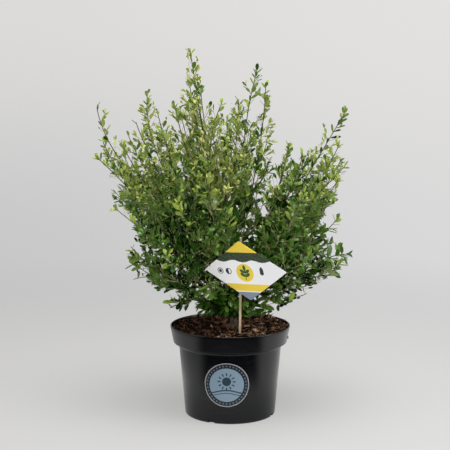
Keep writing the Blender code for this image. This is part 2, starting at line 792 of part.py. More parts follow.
def make_sticker(material):
    """A round sticker that follows the pot's tapering wall."""
    bm = bmesh.new()
    rings = []
    for layer in (0, 1):
        for ring in range(1, STICKER_RINGS + 1):
            circle = bmesh.ops.create_circle(
                bm,
                segments=STICKER_SPOKES,
                radius=STICKER_RADIUS * ring / STICKER_RINGS,
                matrix=Matrix.Translation((0, 0, layer * STICKER_THICKNESS)),
            )
            rings.append(circle["verts"])
    outward = rings[STICKER_RINGS:]
    inward = rings[:STICKER_RINGS]
    loops = [*inward, *reversed(outward)]
    for low, high in zip(loops, loops[1:]):
        for index in range(STICKER_SPOKES):
            after = (index + 1) % STICKER_SPOKES
            bm.faces.new((low[index], high[index], high[after], low[after]))
    bm.faces.new(inward[0])
    bm.faces.new(list(reversed(outward[0])))
    bmesh.ops.recalc_face_normals(bm, faces=bm.faces[:])
    slope = (POT_BODY_RADIUS - POT_BASE_RADIUS) / (POT_HEIGHT - POT_SHOULDER_DROP)
    for vert in bm.verts:
        height = STICKER_HEIGHT + vert.co.y
        radius = POT_BASE_RADIUS + slope * height + STICKER_GAP + vert.co.z
        turn = (vert.co.x + STICKER_SIDE) / (POT_BASE_RADIUS + slope * height)
        vert.co = (radius * math.sin(turn), -radius * math.cos(turn), height)
    bmesh.ops.recalc_face_normals(bm, faces=bm.faces[:])
    return make_object("pot_sticker", bm, material)


def bough_shape(line, extra):
    """A tapering bough along a line, fattened by extra."""
    radii = taper(BOUGH_FOOT_RADIUS + extra, BOUGH_TIP_RADIUS + extra, len(line))
    return tube(line, radii, BOUGH_SIDES)


def make_boughs(lines, material):
    """The boughs, each cut to the trunk and to the boughs made before it."""
    cutters = [make_cutter("trunk_cutter", trunk_shape(SEAT_GAP))]
    for name, line in lines.items():
        bough = make_object(f"bough_{name}", bough_shape(line, 0.0), material)
        for cutter in cutters:
            cut(bough, cutter)
        bpy.context.view_layer.update()
        apply_modifiers(bough)
        keep_main_piece(bough)
        cutters.append(make_cutter(f"cutter_{name}", bough_shape(line, SEAT_GAP)))


def make_room(lines, leaders):
    """The space for foliage, with the solids that are already in it."""
    room = Room(leaders)
    room.add_solid("trunk", trunk_shape(CLEARANCE))
    room.add_solid("stick", stick_shape(CLEARANCE))
    for name, line in lines.items():
        room.add_solid(name, bough_shape(line, CLEARANCE))
    for name, leader in leaders.items():
        radii = taper(LEADER_FOOT_RADIUS, LEADER_TIP_RADIUS, len(leader.points))
        room.add_solid(name, tube(leader.points, radii, TWIG_SIDES))
    return room


def main():
    """Make the whole potted plant."""
    clear_scene()
    plastic = finish("black_plastic", (0.012, 0.013, 0.015), 0.42)
    compost = finish("compost", (0.045, 0.026, 0.016), 0.95)
    bark = finish("bark", (0.085, 0.062, 0.045), 0.85)
    leaf = finish("leaf", (0.075, 0.150, 0.035), 0.5)
    bamboo = finish("bamboo", (0.46, 0.34, 0.21), 0.6)
    board = finish("coated_board", (0.84, 0.83, 0.80), 0.4)
    paper = finish("sticker_paper", (0.25, 0.31, 0.40), 0.45)

    make_pot(plastic)
    make_soil(compost)
    make_object("label_stick", stick_shape(0.0), bamboo)
    make_card(board)
    make_sticker(paper)
    make_object("trunk", trunk_shape(0.0), bark)
    lines = {name: bough_line(name) for name in sorted({shoot.bough for shoot in SHOOTS})}
    make_boughs(lines, bark)

    leaders = {shoot.name: Line(leader_line(shoot, lines[shoot.bough])) for shoot in SHOOTS}
    room = make_room(lines, leaders)
    for shoot in SHOOTS:
        mass = Mass(shoot, leaders[shoot.name], room)
        mass.grow()
        mass.remember()
        mass.fuse(leaf)


main()
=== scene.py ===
"""Looks of a potted japanese holly: nursery pot, compost, bark, foliage, stick label and sticker.

Metres, +Z up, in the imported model's own frame. The plant's front faces -Y.
"""

import logging
import math
import random
from collections.abc import Iterable, Iterator, Sequence
from dataclasses import dataclass, field
from enum import Enum

import bmesh
import bpy
import numpy as np
from mathutils import Matrix, Vector, noise
from mathutils.geometry import interpolate_bezier
from mathutils.kdtree import KDTree


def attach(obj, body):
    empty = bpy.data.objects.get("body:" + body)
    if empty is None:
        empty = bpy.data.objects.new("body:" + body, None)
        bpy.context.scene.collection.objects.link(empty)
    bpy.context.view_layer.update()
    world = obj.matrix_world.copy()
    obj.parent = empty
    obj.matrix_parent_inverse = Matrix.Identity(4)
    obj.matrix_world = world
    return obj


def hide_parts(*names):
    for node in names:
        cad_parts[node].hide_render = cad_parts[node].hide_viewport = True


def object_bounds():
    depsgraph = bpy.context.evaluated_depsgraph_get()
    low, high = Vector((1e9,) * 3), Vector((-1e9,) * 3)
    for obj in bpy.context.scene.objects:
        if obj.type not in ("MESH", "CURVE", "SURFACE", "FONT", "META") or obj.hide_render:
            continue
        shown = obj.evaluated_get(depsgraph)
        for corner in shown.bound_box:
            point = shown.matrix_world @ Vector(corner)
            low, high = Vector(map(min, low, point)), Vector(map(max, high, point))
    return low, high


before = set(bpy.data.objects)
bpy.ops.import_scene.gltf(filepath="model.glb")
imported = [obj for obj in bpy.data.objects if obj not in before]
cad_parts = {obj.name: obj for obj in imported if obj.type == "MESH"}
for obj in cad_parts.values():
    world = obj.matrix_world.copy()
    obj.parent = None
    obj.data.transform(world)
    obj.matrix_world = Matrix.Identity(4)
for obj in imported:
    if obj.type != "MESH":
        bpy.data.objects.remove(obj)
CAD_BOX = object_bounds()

LOG = logging.getLogger("potted_holly")
Colour = tuple[float, float, float]
Pair = tuple[float, float]

BODY = "root"
UP = Vector((0.0, 0.0, 1.0))
SEED = 7
GOLDEN_TURN = math.radians(137.5)
MASSES = tuple(sorted(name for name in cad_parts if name.startswith("foliage_")))
BOUGHS = tuple(sorted(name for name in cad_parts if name.startswith("bough_")))


# Nodes and shared effects


class Signal:
    """A value that varies over a surface. Arithmetic on it adds the nodes that work it out."""

    def __init__(self, wiring: "Wiring", socket: bpy.types.NodeSocket) -> None:
        """Keep the socket that gives the value."""
        self.wiring = wiring
        self.socket = socket

    def __add__(self, other: "Value") -> "Signal":
        """The sum of both."""
        return self.wiring.math("ADD", self, other)

    def __sub__(self, other: "Value") -> "Signal":
        """This less the other."""
        return self.wiring.math("SUBTRACT", self, other)

    def __rsub__(self, other: "Value") -> "Signal":
        """The other less this."""
        return self.wiring.math("SUBTRACT", other, self)

    def __mul__(self, other: "Value") -> "Signal":
        """The product of both, which cuts one mask by another."""
        return self.wiring.math("MULTIPLY", self, other)

    def __or__(self, other: "Value") -> "Signal":
        """The larger of both, which joins two masks."""
        return self.wiring.math("MAXIMUM", self, other)

    def __neg__(self) -> "Signal":
        """The value with its sign changed."""
        return self * -1.0

    def __abs__(self) -> "Signal":
        """The value without its sign."""
        return self.wiring.math("ABSOLUTE", self)

    def between(self, low: float, high: float) -> "Signal":
        """A smooth step from 0 at the low value to 1 at the high one."""
        inputs = {"Value": self, "From Min": low, "From Max": high}
        return self.wiring.value("MapRange", inputs, interpolation_type="SMOOTHSTEP")


Value = float | tuple[float, ...] | Signal


class Wiring:
    """Adds nodes to one tree and joins them up."""

    def __init__(self, tree: bpy.types.NodeTree) -> None:
        """Keep the tree that the nodes go into."""
        self.tree = tree

    def put(self, node: bpy.types.Node, inputs: dict[str | int, Value]) -> None:
        """Give a node's inputs their values or links.

        Args:
            node: the node.
            inputs: a number, a colour or a signal for each input.
        """
        for name, value in inputs.items():
            socket = node.inputs[name]
            if isinstance(value, Signal):
                self.tree.links.new(value.socket, socket)
            else:
                socket.default_value = (*value, 1.0) if socket.type == "RGBA" else value

    def add(self, kind: str, inputs: dict[str | int, Value], **options: object) -> bpy.types.Node:
        """Add one node.

        Args:
            kind: Blender's name for the kind of node, without its ShaderNode.
            inputs: a number, a colour or a signal for each input.
            options: the node's own settings.

        Returns:
            The new node.
        """
        node = self.tree.nodes.new(f"ShaderNode{kind}")
        for name, option in options.items():
            setattr(node, name, option)
        self.put(node, inputs)
        return node

    def value(
        self, kind: str, inputs: dict[str | int, Value], output: str | int = 0, **options: object
    ) -> Signal:
        """What one output of a new node gives."""
        return Signal(self, self.add(kind, inputs, **options).outputs[output])

    def math(self, operation: str, first: Value, second: Value = 0.0) -> Signal:
        """A sum, product or other result of one or two numbers."""
        return self.value("Math", {0: first, 1: second}, operation=operation)

    def cosine(self, value: Signal, waves: float) -> Signal:
        """The cosine of a number of waves of a value."""
        return self.math("COSINE", value * waves)

    def away(self, place: Value, centre: Value = (0.0, 0.0, 0.0)) -> Signal:
        """Distance of a place from a centre."""
        return self.value("VectorMath", {0: place, 1: centre}, "Value", operation="DISTANCE")

    def mix(self, share: Value, first: Value, second: Value) -> Signal:
        """The first colour turning into the second as the share goes from 0 to 1."""
        return self.value("Mix", {0: share, 6: first, 7: second}, 2, data_type="RGBA")

    def noise(self, place: Value, scale: Value, detail: float = 3.0) -> Signal:
        """Soft noise with a number of features to the metre."""
        return self.value("TexNoise", {"Vector": place, "Scale": scale, "Detail": detail})

    def object_place(self, along: float = 1.0) -> Signal:
        """The piece's own coordinates, with Z multiplied, for grain that runs that way."""
        place = self.value("TexCoord", {}, "Object")
        return self.value("Mapping", {"Vector": place, "Scale": (1.0, 1.0, along)})

    def print_place(self, wide: float = 1.0) -> Signal:
        """The piece's UV map, measured from its middle in half heights."""
        inputs = {0: self.uv_place(), 1: (2.0 * wide, 2.0, 0.0), 2: (-wide, -1.0, 0.0)}
        return self.value("VectorMath", inputs, operation="MULTIPLY_ADD")

    def uv_place(self) -> Signal:
        """The piece's UV map."""
        return self.value("UVMap", {}, uv_map="print")

    def parts(self, place: Value) -> list[Signal]:
        """The three numbers of a place."""
        return [Signal(self, part) for part in self.add("SeparateXYZ", {0: place}).outputs]

    def bump(self, height: Value, strength: float, distance: float) -> Signal:
        """A normal that shows a height as relief."""
        return self.value("Bump", {"Height": height, "Strength": strength, "Distance": distance})

    def effect(self, name: str, inputs: dict[str, Value]) -> dict[str, Signal]:
        """Add one of the shared effects.

        Args:
            name: which effect.
            inputs: a number, a colour or a signal for each input.

        Returns:
            What it gives, by the output's name.
        """
        node = self.add("Group", {}, node_tree=bpy.data.node_groups[name])
        self.put(node, inputs)
        return {output.name: Signal(self, output) for output in node.outputs}

    def disc(self, place: Value, centre: Pair, radius: float) -> Signal:
        """A mask of a printed disc."""
        return self.effect("disc", {"Place": place, "Centre": (*centre, 0.0), "Radius": radius})["Mask"]

    def leaf_mark(self, place: Value, centre: Pair, turn: float, length: float) -> Signal:
        """A mask of a printed leaf, with its turn in degrees."""
        inputs = {"Place": place, "Centre": (*centre, 0.0), "Turn": math.radians(turn), "Length": length}
        return self.effect("leaf_mark", inputs)["Mask"]


class Effect(Wiring):
    """A shared effect in the making, as a node group with named inputs and outputs."""

    def __init__(self, name: str, inputs: dict[str, str], outputs: dict[str, str]) -> None:
        """Open the group.

        Args:
            name: what the group is called.
            inputs: the kind of socket of each input.
            outputs: the kind of socket of each output.
        """
        super().__init__(bpy.data.node_groups.new(name, "ShaderNodeTree"))
        for side, rows in (("INPUT", inputs), ("OUTPUT", outputs)):
            for label, kind in rows.items():
                self.tree.interface.new_socket(label, in_out=side, socket_type=f"NodeSocket{kind}")
        given = self.tree.nodes.new("NodeGroupInput")
        self.given = {label: Signal(self, given.outputs[label]) for label in inputs}

    def close(self, outputs: dict[str, Signal]) -> None:
        """Join what the group gives to its outputs."""
        self.put(self.tree.nodes.new("NodeGroupOutput"), outputs)


def make_effects() -> None:
    """The shared effects: patches of two colours, a printed disc, and a leaf where two discs overlap."""
    sockets = {"Place": "Vector", "Scale": "Float", "Low": "Color", "High": "Color"}
    mottle = Effect("mottle", sockets, {"Colour": "Color", "Mask": "Float"})
    given = mottle.given
    mask = mottle.noise(given["Place"], given["Scale"], 4.0).between(0.36, 0.66)
    mottle.close({"Colour": mottle.mix(mask, given["Low"], given["High"]), "Mask": mask})

    sockets = {"Place": "Vector", "Centre": "Vector", "Radius": "Float"}
    disc = Effect("disc", sockets, {"Mask": "Float"})
    given = disc.given
    inside = given["Radius"] - disc.away(given["Place"], given["Centre"])
    disc.close({"Mask": inside.between(-0.006, 0.006)})

    sockets = {"Place": "Vector", "Centre": "Vector", "Turn": "Float", "Length": "Float"}
    leaf = Effect("leaf_mark", sockets, {"Mask": "Float"})
    given = leaf.given
    inputs = {"Vector": given["Place"], "Center": given["Centre"], "Angle": given["Turn"]}
    turned = leaf.value("VectorRotate", inputs, rotation_type="Z_AXIS", invert=True)
    moved = leaf.value("VectorMath", {0: turned, 1: given["Centre"]}, operation="SUBTRACT")
    share = leaf.math("DIVIDE", 1.0, given["Length"])
    sized = leaf.value("VectorMath", {0: moved, "Scale": share}, operation="SCALE")
    sides = [(1.25 - leaf.away(sized, (0.0, offset, 0.0))).between(-0.04, 0.04) for offset in (-0.75, 0.75)]
    leaf.close({"Mask": sides[0] * sides[1]})


# Finishes


class Surface(Wiring):
    """A material in the making."""

    def __init__(self, name: str) -> None:
        """Open a new material.

        Args:
            name: what the material is called.
        """
        self.material = bpy.data.materials.new(name)
        self.material.use_nodes = True
        super().__init__(self.material.node_tree)
        self.shader = self.tree.nodes["Principled BSDF"]

    def finish(
        self, colour: Value, roughness: Value, normal: Signal | None = None, specular: float = 0.5
    ) -> bpy.types.Material:
        """Set the shader.

        Args:
            colour: the base colour.
            roughness: the roughness.
            normal: the relief, if there is any.
            specular: the strength of the gloss.

        Returns:
            The finished material.
        """
        looks = {"Base Color": colour, "Roughness": roughness, "Specular IOR Level": specular}
        self.put(self.shader, looks | ({"Normal": normal} if normal else {}))
        return self.material


@dataclass(frozen=True)
class MottledFinish:
    """A rough natural surface in two colours with a fine relief."""

    name: str
    low: Colour
    high: Colour
    scale: float
    roughness: float
    relief_scale: float
    relief: float
    along: float = 1.0
    specular: float = 0.35

    def build(self) -> bpy.types.Material:
        """Make the material.

        Returns:
            The material.
        """
        surface = Surface(self.name)
        place = surface.object_place(self.along)
        given = {"Place": place, "Scale": self.scale, "Low": self.low, "High": self.high}
        colour = surface.effect("mottle", given)["Colour"]
        normal = surface.bump(surface.noise(place, self.relief_scale, 5.0), 0.8, self.relief)
        return surface.finish(colour, self.roughness, normal, self.specular)


@dataclass(frozen=True)
class PotPlastic:
    """Black moulded plastic with a soft gloss, faint scuffs and a little compost at the lip."""

    name: str = "pot_plastic"
    colour: Colour = (0.0018, 0.0022, 0.0030)
    scuffed: Colour = (0.0064, 0.0063, 0.0066)
    dust: Colour = (0.026, 0.017, 0.011)
    dusty_heights: Pair = (0.1688, 0.1722)
    roughness: Pair = (0.15, 0.26)
    scuff_scale: float = 46.0
    speck_scale: float = 420.0
    gloss_scale: float = 90.0
    peel_scale: float = 700.0

    def build(self) -> bpy.types.Material:
        """Make the material.

        Returns:
            The material.
        """
        surface = Surface(self.name)
        place = surface.object_place()
        scuffs = surface.noise(surface.object_place(3.5), self.scuff_scale, 6.0).between(0.52, 0.74)
        lip = surface.parts(place)[2].between(*self.dusty_heights)
        specks = surface.noise(place, self.speck_scale, 4.0).between(0.44, 0.62)
        worn = surface.mix(scuffs, self.colour, self.scuffed)
        low, high = self.roughness
        patchy = surface.noise(place, self.gloss_scale, 5.0)
        gloss = surface.value("MapRange", {"Value": patchy, "To Min": low, "To Max": high})
        peel = surface.bump(surface.noise(place, self.peel_scale, 2.0), 0.05, 0.0001)
        return surface.finish(surface.mix(lip * specks, worn, self.dust), gloss, peel)


@dataclass(frozen=True)
class LeafFinish:
    """Waxy leaf in one tint, with a paler midrib and edge, and a duller underside."""

    tint: str
    colour: Colour
    vein: Colour
    under: Colour
    roughness: float
    specular: float = 0.32

    def build(self) -> list[bpy.types.Material]:
        """Make the materials.

        Returns:
            The upper side's material and the underside's.
        """
        surface = Surface(f"{self.tint}_leaf")
        across, along, _ = surface.parts(surface.uv_place())
        off_rib = abs(across - 0.5)
        rib = 1.0 - off_rib.between(0.015, 0.06)
        pale = rib * 0.75 | off_rib.between(0.40, 0.50)
        blotch = surface.noise(surface.object_place(), 260.0, 2.0).between(0.3, 0.7)
        blade = surface.mix(blotch, tuple(part * 0.72 for part in self.colour), self.colour)
        ripple = surface.math("SINE", along * 40.0)
        colour = surface.mix(pale * 0.6, blade, self.vein)
        upper = surface.finish(colour, self.roughness, surface.bump(ripple, 0.15, 0.0002), self.specular)
        darker = tuple(part * 0.8 for part in self.under)
        dull = MottledFinish(
            f"{self.tint}_underside", darker, self.under, 300.0, 0.62, 1500.0, 0.0002, specular=0.2
        )
        return [upper, dull.build()]


@dataclass(frozen=True)
class BambooFinish:
    """Pale split bamboo with long fibres and a few dark flecks, damp at the soil, painted shade higher up.
    """

    name: str = "bamboo"
    low: Colour = (0.52, 0.375, 0.235)
    high: Colour = (0.74, 0.59, 0.41)
    # A darker green for painted shade of the card and the leaves on the stick's upper part.
    painted_shade: Colour = (0.27, 0.26, 0.14)
    damp: Colour = (0.26, 0.20, 0.13)
    fleck: Colour = (0.19, 0.12, 0.07)
    along: float = 0.035
    fibre_scale: float = 1600.0
    fleck_scale: float = 700.0
    painted_shade_heights: Pair = (0.205, 0.222)
    damp_heights: Pair = (0.168, 0.190)

    def build(self) -> bpy.types.Material:
        """Make the material.

        Returns:
            The material.
        """
        surface = Surface(self.name)
        place = surface.object_place(self.along)
        given = {"Place": place, "Scale": self.fibre_scale, "Low": self.low, "High": self.high}
        fibres = surface.effect("mottle", given)
        flecks = surface.noise(place, self.fleck_scale, 2.0).between(0.66, 0.76)
        height = surface.parts(surface.object_place())[2]
        # Painted shade on the upper part of the stick, under the card and the leaves.
        fibre = surface.mix(height.between(*self.painted_shade_heights) * 0.8, fibres["Colour"], self.painted_shade)
        fibre = surface.mix(0.55 - height.between(*self.damp_heights) * 0.55, fibre, self.damp)
        return surface.finish(
            surface.mix(flecks, fibre, self.fleck), 0.62, surface.bump(fibres["Mask"], 0.5, 0.0002)
        )


@dataclass(frozen=True)
class CardPrint:
    """Generic care card: a leafy sprig on a yellow disc, care signs, and bands of colour.

    Its measures are in half heights of the card from its middle.
    """

    name: str = "card_print"
    wide: float = 0.086 / 0.059
    paper: Colour = (0.97, 0.965, 0.98)
    shaded_paper: Colour = (0.80, 0.80, 0.82)
    yellow: Colour = (0.82, 0.61, 0.060)
    hedge: tuple[Colour, Colour] = ((0.022, 0.038, 0.028), (0.095, 0.125, 0.062))
    leaf: Colour = (0.030, 0.110, 0.035)
    ink: Colour = (0.040, 0.044, 0.048)
    slate: Colour = (0.22, 0.265, 0.33)
    # Glossy rays see an emission in place of the floor, a painted reflection: dark on the studio's unlit
    # side, darker near the pot as painted contact shadow, and paler to the right.
    disc_centre: Pair = (0.0, -0.06)
    disc_radius: float = 0.30
    sun: Pair = (-0.88, -0.02)
    half_shade: Pair = (-0.58, -0.02)
    water: float = 0.60
    # Part of the floor's colour is a glow, painted light that lightens the shadows cast on it.
    sign_rings: Pair = (0.105, 0.082)
    leaf_length: float = 0.105
    crisp: float = 0.008
    bands: tuple[float, float, float, float, float] = (0.36, 0.62, 0.44, 0.68, 0.71)

    def above(self, value: Signal, limit: float) -> Signal:
        """A mask of where a number is above a limit, with a crisp edge."""
        return value.between(limit - self.crisp, limit + self.crisp)

    def sprig(self, surface: Surface, place: Signal) -> Signal:
        """A stem with leaves in pairs and one at its tip.

        Args:
            surface: the material.
            place: the place on the card.

        Returns:
            The mask.
        """
        across, up, _ = surface.parts(place)
        x, y = self.disc_centre
        thin = 1.0 - abs(across).between(0.008, 0.020)
        mask = thin * (self.above(up, y - 0.24) * self.above(-up, -y - 0.12))
        leaves = [((x, y + 0.16), 90.0)]
        for rise in (-0.12, 0.0):
            leaves += [((x + 0.085, y + rise + 0.05), 35.0), ((x - 0.085, y + rise + 0.05), 145.0)]
        for centre, turn in leaves:
            mask = mask | surface.leaf_mark(place, centre, turn, self.leaf_length)
        return mask

    def signs(self, surface: Surface, place: Signal) -> Signal:
        """The care signs: sun and half shade on the left, water on the right.

        Args:
            surface: the material.
            place: the place on the card.

        Returns:
            The mask.
        """
        outer, inner = self.sign_rings
        sun = surface.disc(place, self.sun, 0.055)
        ring = surface.disc(place, self.sun, outer) - surface.disc(place, self.sun, inner)
        open_half = self.above(surface.parts(place)[0], self.half_shade[0])
        shade = surface.disc(place, self.half_shade, outer)
        shade = shade - surface.disc(place, self.half_shade, inner) * open_half
        drop = surface.disc(place, (self.water, -0.05), 0.070)
        return sun | ring | shade | drop | surface.leaf_mark(place, (self.water, 0.03), 90.0, 0.13)

    def build(self) -> bpy.types.Material:
        """Make the material of the card's front.

        Returns:
            The material.
        """
        surface = Surface(self.name)
        place = surface.print_place(self.wide)
        across, up, _ = surface.parts(place)
        grain = surface.noise(place, 24.0, 4.0)
        hedge = surface.mix(grain.between(0.42, 0.66), *self.hedge)
        hedge_foot = up + surface.cosine(across, 9.0) * 0.035 + grain * 0.06
        # The paper darkens towards the card's right: painted shade.
        paper = surface.mix(across.between(-1.2, 1.2), self.paper, self.shaded_paper)
        hedge_low, hedge_high, yellow_low, gap_low, slate_low = self.bands
        colour = paper
        for mask, inked in (
            (self.above(hedge_foot, hedge_low), hedge),
            (self.above(up, hedge_high), self.yellow),
            (surface.disc(place, self.disc_centre, self.disc_radius), self.yellow),
            (self.sprig(surface, place), self.leaf),
            (self.signs(surface, place), self.ink),
            (self.above(-up, yellow_low), self.yellow),
            (self.above(-up, gap_low), paper),
            (self.above(-up, slate_low), self.slate),
        ):
            colour = surface.mix(mask, colour, inked)
        return surface.finish(colour, 0.36)


@dataclass(frozen=True)
class StickerPrint:
    """Generic round sticker: pale rim, dark ring of beads, and a sun over hills on a pale disc.

    Its measures are in radii of the sticker from its middle.
    """

    name: str = "sticker_print"
    rim: Colour = (0.245, 0.25, 0.26)
    ring: Colour = (0.004, 0.012, 0.020)
    disc: Colour = (0.160, 0.228, 0.290)
    ink: Colour = (0.014, 0.034, 0.055)
    radii: Pair = (0.955, 0.765)
    beads: int = 36
    bead_ring: float = 0.862
    sun: Pair = (0.0, 0.16)
    sun_radius: float = 0.20
    rays: int = 12
    hills: tuple[Pair, Pair] = ((0.30, 0.375), (0.44, 0.49))
    edge: float = 0.015

    def picture(self, surface: Surface, place: Signal) -> Signal:
        """The sun with its rays, over the lines of two hills.

        Args:
            surface: the material.
            place: the place on the sticker.

        Returns:
            The mask.
        """
        across, up, _ = surface.parts(place)
        around = surface.math("ARCTAN2", up - self.sun[1], across - self.sun[0])
        from_sun = surface.away(place, (*self.sun, 0.0))
        ray = surface.cosine(around, float(self.rays)).between(0.35, 0.65)
        ray = ray * from_sun.between(0.25, 0.27) * (-from_sun).between(-0.40, -0.38)
        mark = surface.disc(place, self.sun, self.sun_radius) | ray
        hill = up + surface.cosine(across, 3.1) * -0.10
        for top, foot in self.hills:
            mark = mark | (-hill).between(top, top + self.edge) * hill.between(-foot, self.edge - foot)
        return mark

    def build(self) -> bpy.types.Material:
        """Make the material of the sticker's front.

        Returns:
            The material.
        """
        surface = Surface(self.name)
        place = surface.print_place()
        across, up, _ = surface.parts(place)
        inside, inner = (surface.disc(place, (0.0, 0.0), radius) for radius in self.radii)
        wave = surface.cosine(surface.math("ARCTAN2", up, across), float(self.beads))
        off_ring = abs(surface.away(place) - self.bead_ring)
        bead = wave.between(-0.1, 0.5) * (1.0 - off_ring.between(0.022, 0.042))
        colour = surface.mix(inside, self.rim, self.ring)
        colour = surface.mix(bead * 0.5, colour, self.rim)
        colour = surface.mix(inner, colour, self.disc)
        colour = surface.mix(self.picture(surface, place) * inner, colour, self.ink)
        return surface.finish(colour, 0.38)


# Mesh helpers


def make_piece(
    name: str,
    mesh: bpy.types.Mesh,
    materials: Iterable[bpy.types.Material],
    nodes: Iterable[str],
) -> None:
    """Put a finished mesh into the scene as a piece of the object.

    Args:
        name: the piece's name.
        mesh: its mesh, in the frame's own coordinates.
        materials: its materials, in the order of the faces' indices.
        nodes: the solids that it stands for.
    """
    for material in materials:
        mesh.materials.append(material)
    piece = bpy.data.objects.new(name, mesh)
    bpy.context.scene.collection.objects.link(piece)
    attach(piece, BODY)
    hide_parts(*nodes)
    mesh.calc_loop_triangles()
    LOG.info("%s: %d triangles", name, len(mesh.loop_triangles))


def mesh_of(name: str, bm: bmesh.types.BMesh, sharp: float = 40.0) -> bpy.types.Mesh:
    """A smooth mesh of a bmesh, which is freed.

    Args:
        name: the mesh's name.
        bm: the bmesh.
        sharp: the angle in degrees above which an edge is sharp.

    Returns:
        The mesh.
    """
    mesh = bpy.data.meshes.new(name)
    bm.to_mesh(mesh)
    bm.free()
    mesh.shade_smooth()
    mesh.set_sharp_from_angle(angle=math.radians(sharp))
    return mesh


def spun(profile: Sequence[Pair], steps: int) -> bmesh.types.BMesh:
    """A solid of revolution about Z.

    Args:
        profile: radius and height of each corner, from the axis round to the axis.
        steps: how many steps make the full turn.

    Returns:
        The closed solid.
    """
    bm = bmesh.new()
    verts = [bm.verts.new((radius, 0.0, height)) for radius, height in profile]
    edges = [bm.edges.new(pair) for pair in zip(verts, verts[1:])]
    whole = {"cent": (0, 0, 0), "axis": (0, 0, 1), "angle": math.tau, "use_merge": True}
    bmesh.ops.spin(bm, geom=verts + edges, steps=steps, **whole)
    bmesh.ops.remove_doubles(bm, verts=bm.verts[:], dist=1e-6)
    bmesh.ops.recalc_face_normals(bm, faces=bm.faces[:])
    return bm


def bevelled_box(size: tuple[float, float, float], offset: float) -> bmesh.types.BMesh:
    """A box round the origin with rounded edges.

    Args:
        size: its length along each axis.
        offset: how far the rounding reaches.

    Returns:
        The box.
    """
    bm = bmesh.new()
    bmesh.ops.create_cube(bm, size=1.0, matrix=Matrix.Diagonal((*size, 1.0)))
    rounding = {"segments": 2, "profile": 0.5, "affect": "EDGES", "material": -1}
    bmesh.ops.bevel(bm, geom=bm.edges[:], offset=offset, **rounding)
    return bm


def arc(centre: Pair, radius: float, turns: Pair, steps: int) -> list[Pair]:
    """Points of an arc in a profile, from one angle in degrees to the other."""
    angles = [math.radians(turns[0] + (turns[1] - turns[0]) * step / steps) for step in range(steps + 1)]
    return [(centre[0] + radius * math.cos(turn), centre[1] + radius * math.sin(turn)) for turn in angles]


def taper(start: float, end: float, count: int) -> list[float]:
    """Evenly spaced radii from the first to the last."""
    return [start + (end - start) * step / (count - 1) for step in range(count)]


def clamped(value: float) -> float:
    """A number held between 0 and 1."""
    return min(max(value, 0.0), 1.0)


def sideways(ahead: Vector, turn: float) -> Vector:
    """A direction square to a heading, at a turn round it."""
    return Matrix.Rotation(turn, 3, ahead) @ ahead.orthogonal().normalized()


def leaning(ahead: Vector, out: Vector, lean: float) -> Vector:
    """A heading that leans away from another to one side."""
    return ahead * math.cos(lean) + out * math.sin(lean)


def frames_along(points: Sequence[Vector]) -> list[Matrix]:
    """A matrix at each point, with Z along the line and no twist from one to the next.

    Args:
        points: the line.

    Returns:
        The matrices.
    """
    frames: list[Matrix] = []
    side = None
    for index, point in enumerate(points):
        ahead = (points[min(index + 1, len(points) - 1)] - points[max(index - 1, 0)]).normalized()
        side = ahead.orthogonal() if side is None else side
        side = (side - ahead * side.dot(ahead)).normalized()
        turn = Matrix((side, ahead.cross(side), ahead)).transposed().to_4x4()
        frames.append(Matrix.Translation(point) @ turn)
    return frames


def tube(points: Sequence[Vector], radii: Sequence[float], sides: int) -> bmesh.types.BMesh:
    """A closed tapering tube.

    Args:
        points: where it runs.
        radii: its radius at each point.
        sides: how many sides it has.

    Returns:
        The tube.
    """
    bm = bmesh.new()
    rings = [
        bmesh.ops.create_circle(bm, segments=sides, radius=radius, matrix=place)["verts"]
        for place, radius in zip(frames_along(points), radii)
    ]
    for low, high in zip(rings, rings[1:]):
        for index in range(sides):
            after = (index + 1) % sides
            bm.faces.new((low[index], low[after], high[after], high[index]))
    bm.faces.new(list(reversed(rings[0])))
    bm.faces.new(rings[-1])
    return bm


def merged(shapes: Iterable[bmesh.types.BMesh]) -> bmesh.types.BMesh:
    """One bmesh of several, which are freed.

    Args:
        shapes: the bmeshes.

    Returns:
        The bmesh that holds them all.
    """
    whole = bmesh.new()
    for shape in shapes:
        mesh = bpy.data.meshes.new("part")
        shape.to_mesh(mesh)
        shape.free()
        whole.from_mesh(mesh)
        bpy.data.meshes.remove(mesh)
    return whole


def lay_print(bm: bmesh.types.BMesh, half_width: float, half_height: float) -> None:
    """Give a flat shape round the origin the UV map that its print is read by.

    Args:
        bm: the shape.
        half_width: half its width.
        half_height: half its height.
    """
    flat = bm.loops.layers.uv.new("print")
    for face in bm.faces:
        for loop in face.loops:
            x, y = loop.vert.co.x / half_width, loop.vert.co.y / half_height
            loop[flat].uv = (0.5 + x / 2, 0.5 + y / 2)


@dataclass
class RawMesh:
    """The arrays of a mesh that repeats small shapes or joins thin stems.

    It has each vertex's place, each face corner's vertex, each face's number of corners and its
    material index, and each corner's place in the UV map where there is one.
    """

    places: np.ndarray
    corners: np.ndarray
    sizes: np.ndarray
    looks: np.ndarray
    flat: np.ndarray | None = None

    def build(self, name: str, sharp: float) -> bpy.types.Mesh:
        """Make the mesh.

        Args:
            name: its name.
            sharp: the angle in degrees above which an edge is sharp.

        Returns:
            The mesh.
        """
        mesh = bpy.data.meshes.new(name)
        mesh.vertices.add(len(self.places))
        mesh.vertices.foreach_set("co", self.places.astype(np.float32).ravel())
        mesh.loops.add(len(self.corners))
        mesh.loops.foreach_set("vertex_index", self.corners.astype(np.int32))
        mesh.polygons.add(len(self.sizes))
        starts = np.concatenate(([0], np.cumsum(self.sizes)[:-1]))
        mesh.polygons.foreach_set("loop_start", starts.astype(np.int32))
        mesh.polygons.foreach_set("material_index", self.looks.astype(np.int32))
        if self.flat is not None:
            layer = mesh.uv_layers.new(name="print")
            layer.data.foreach_set("uv", self.flat.astype(np.float32).ravel())
        mesh.update(calc_edges=True)
        mesh.validate()
        mesh.shade_smooth()
        mesh.set_sharp_from_angle(angle=math.radians(sharp))
        return mesh


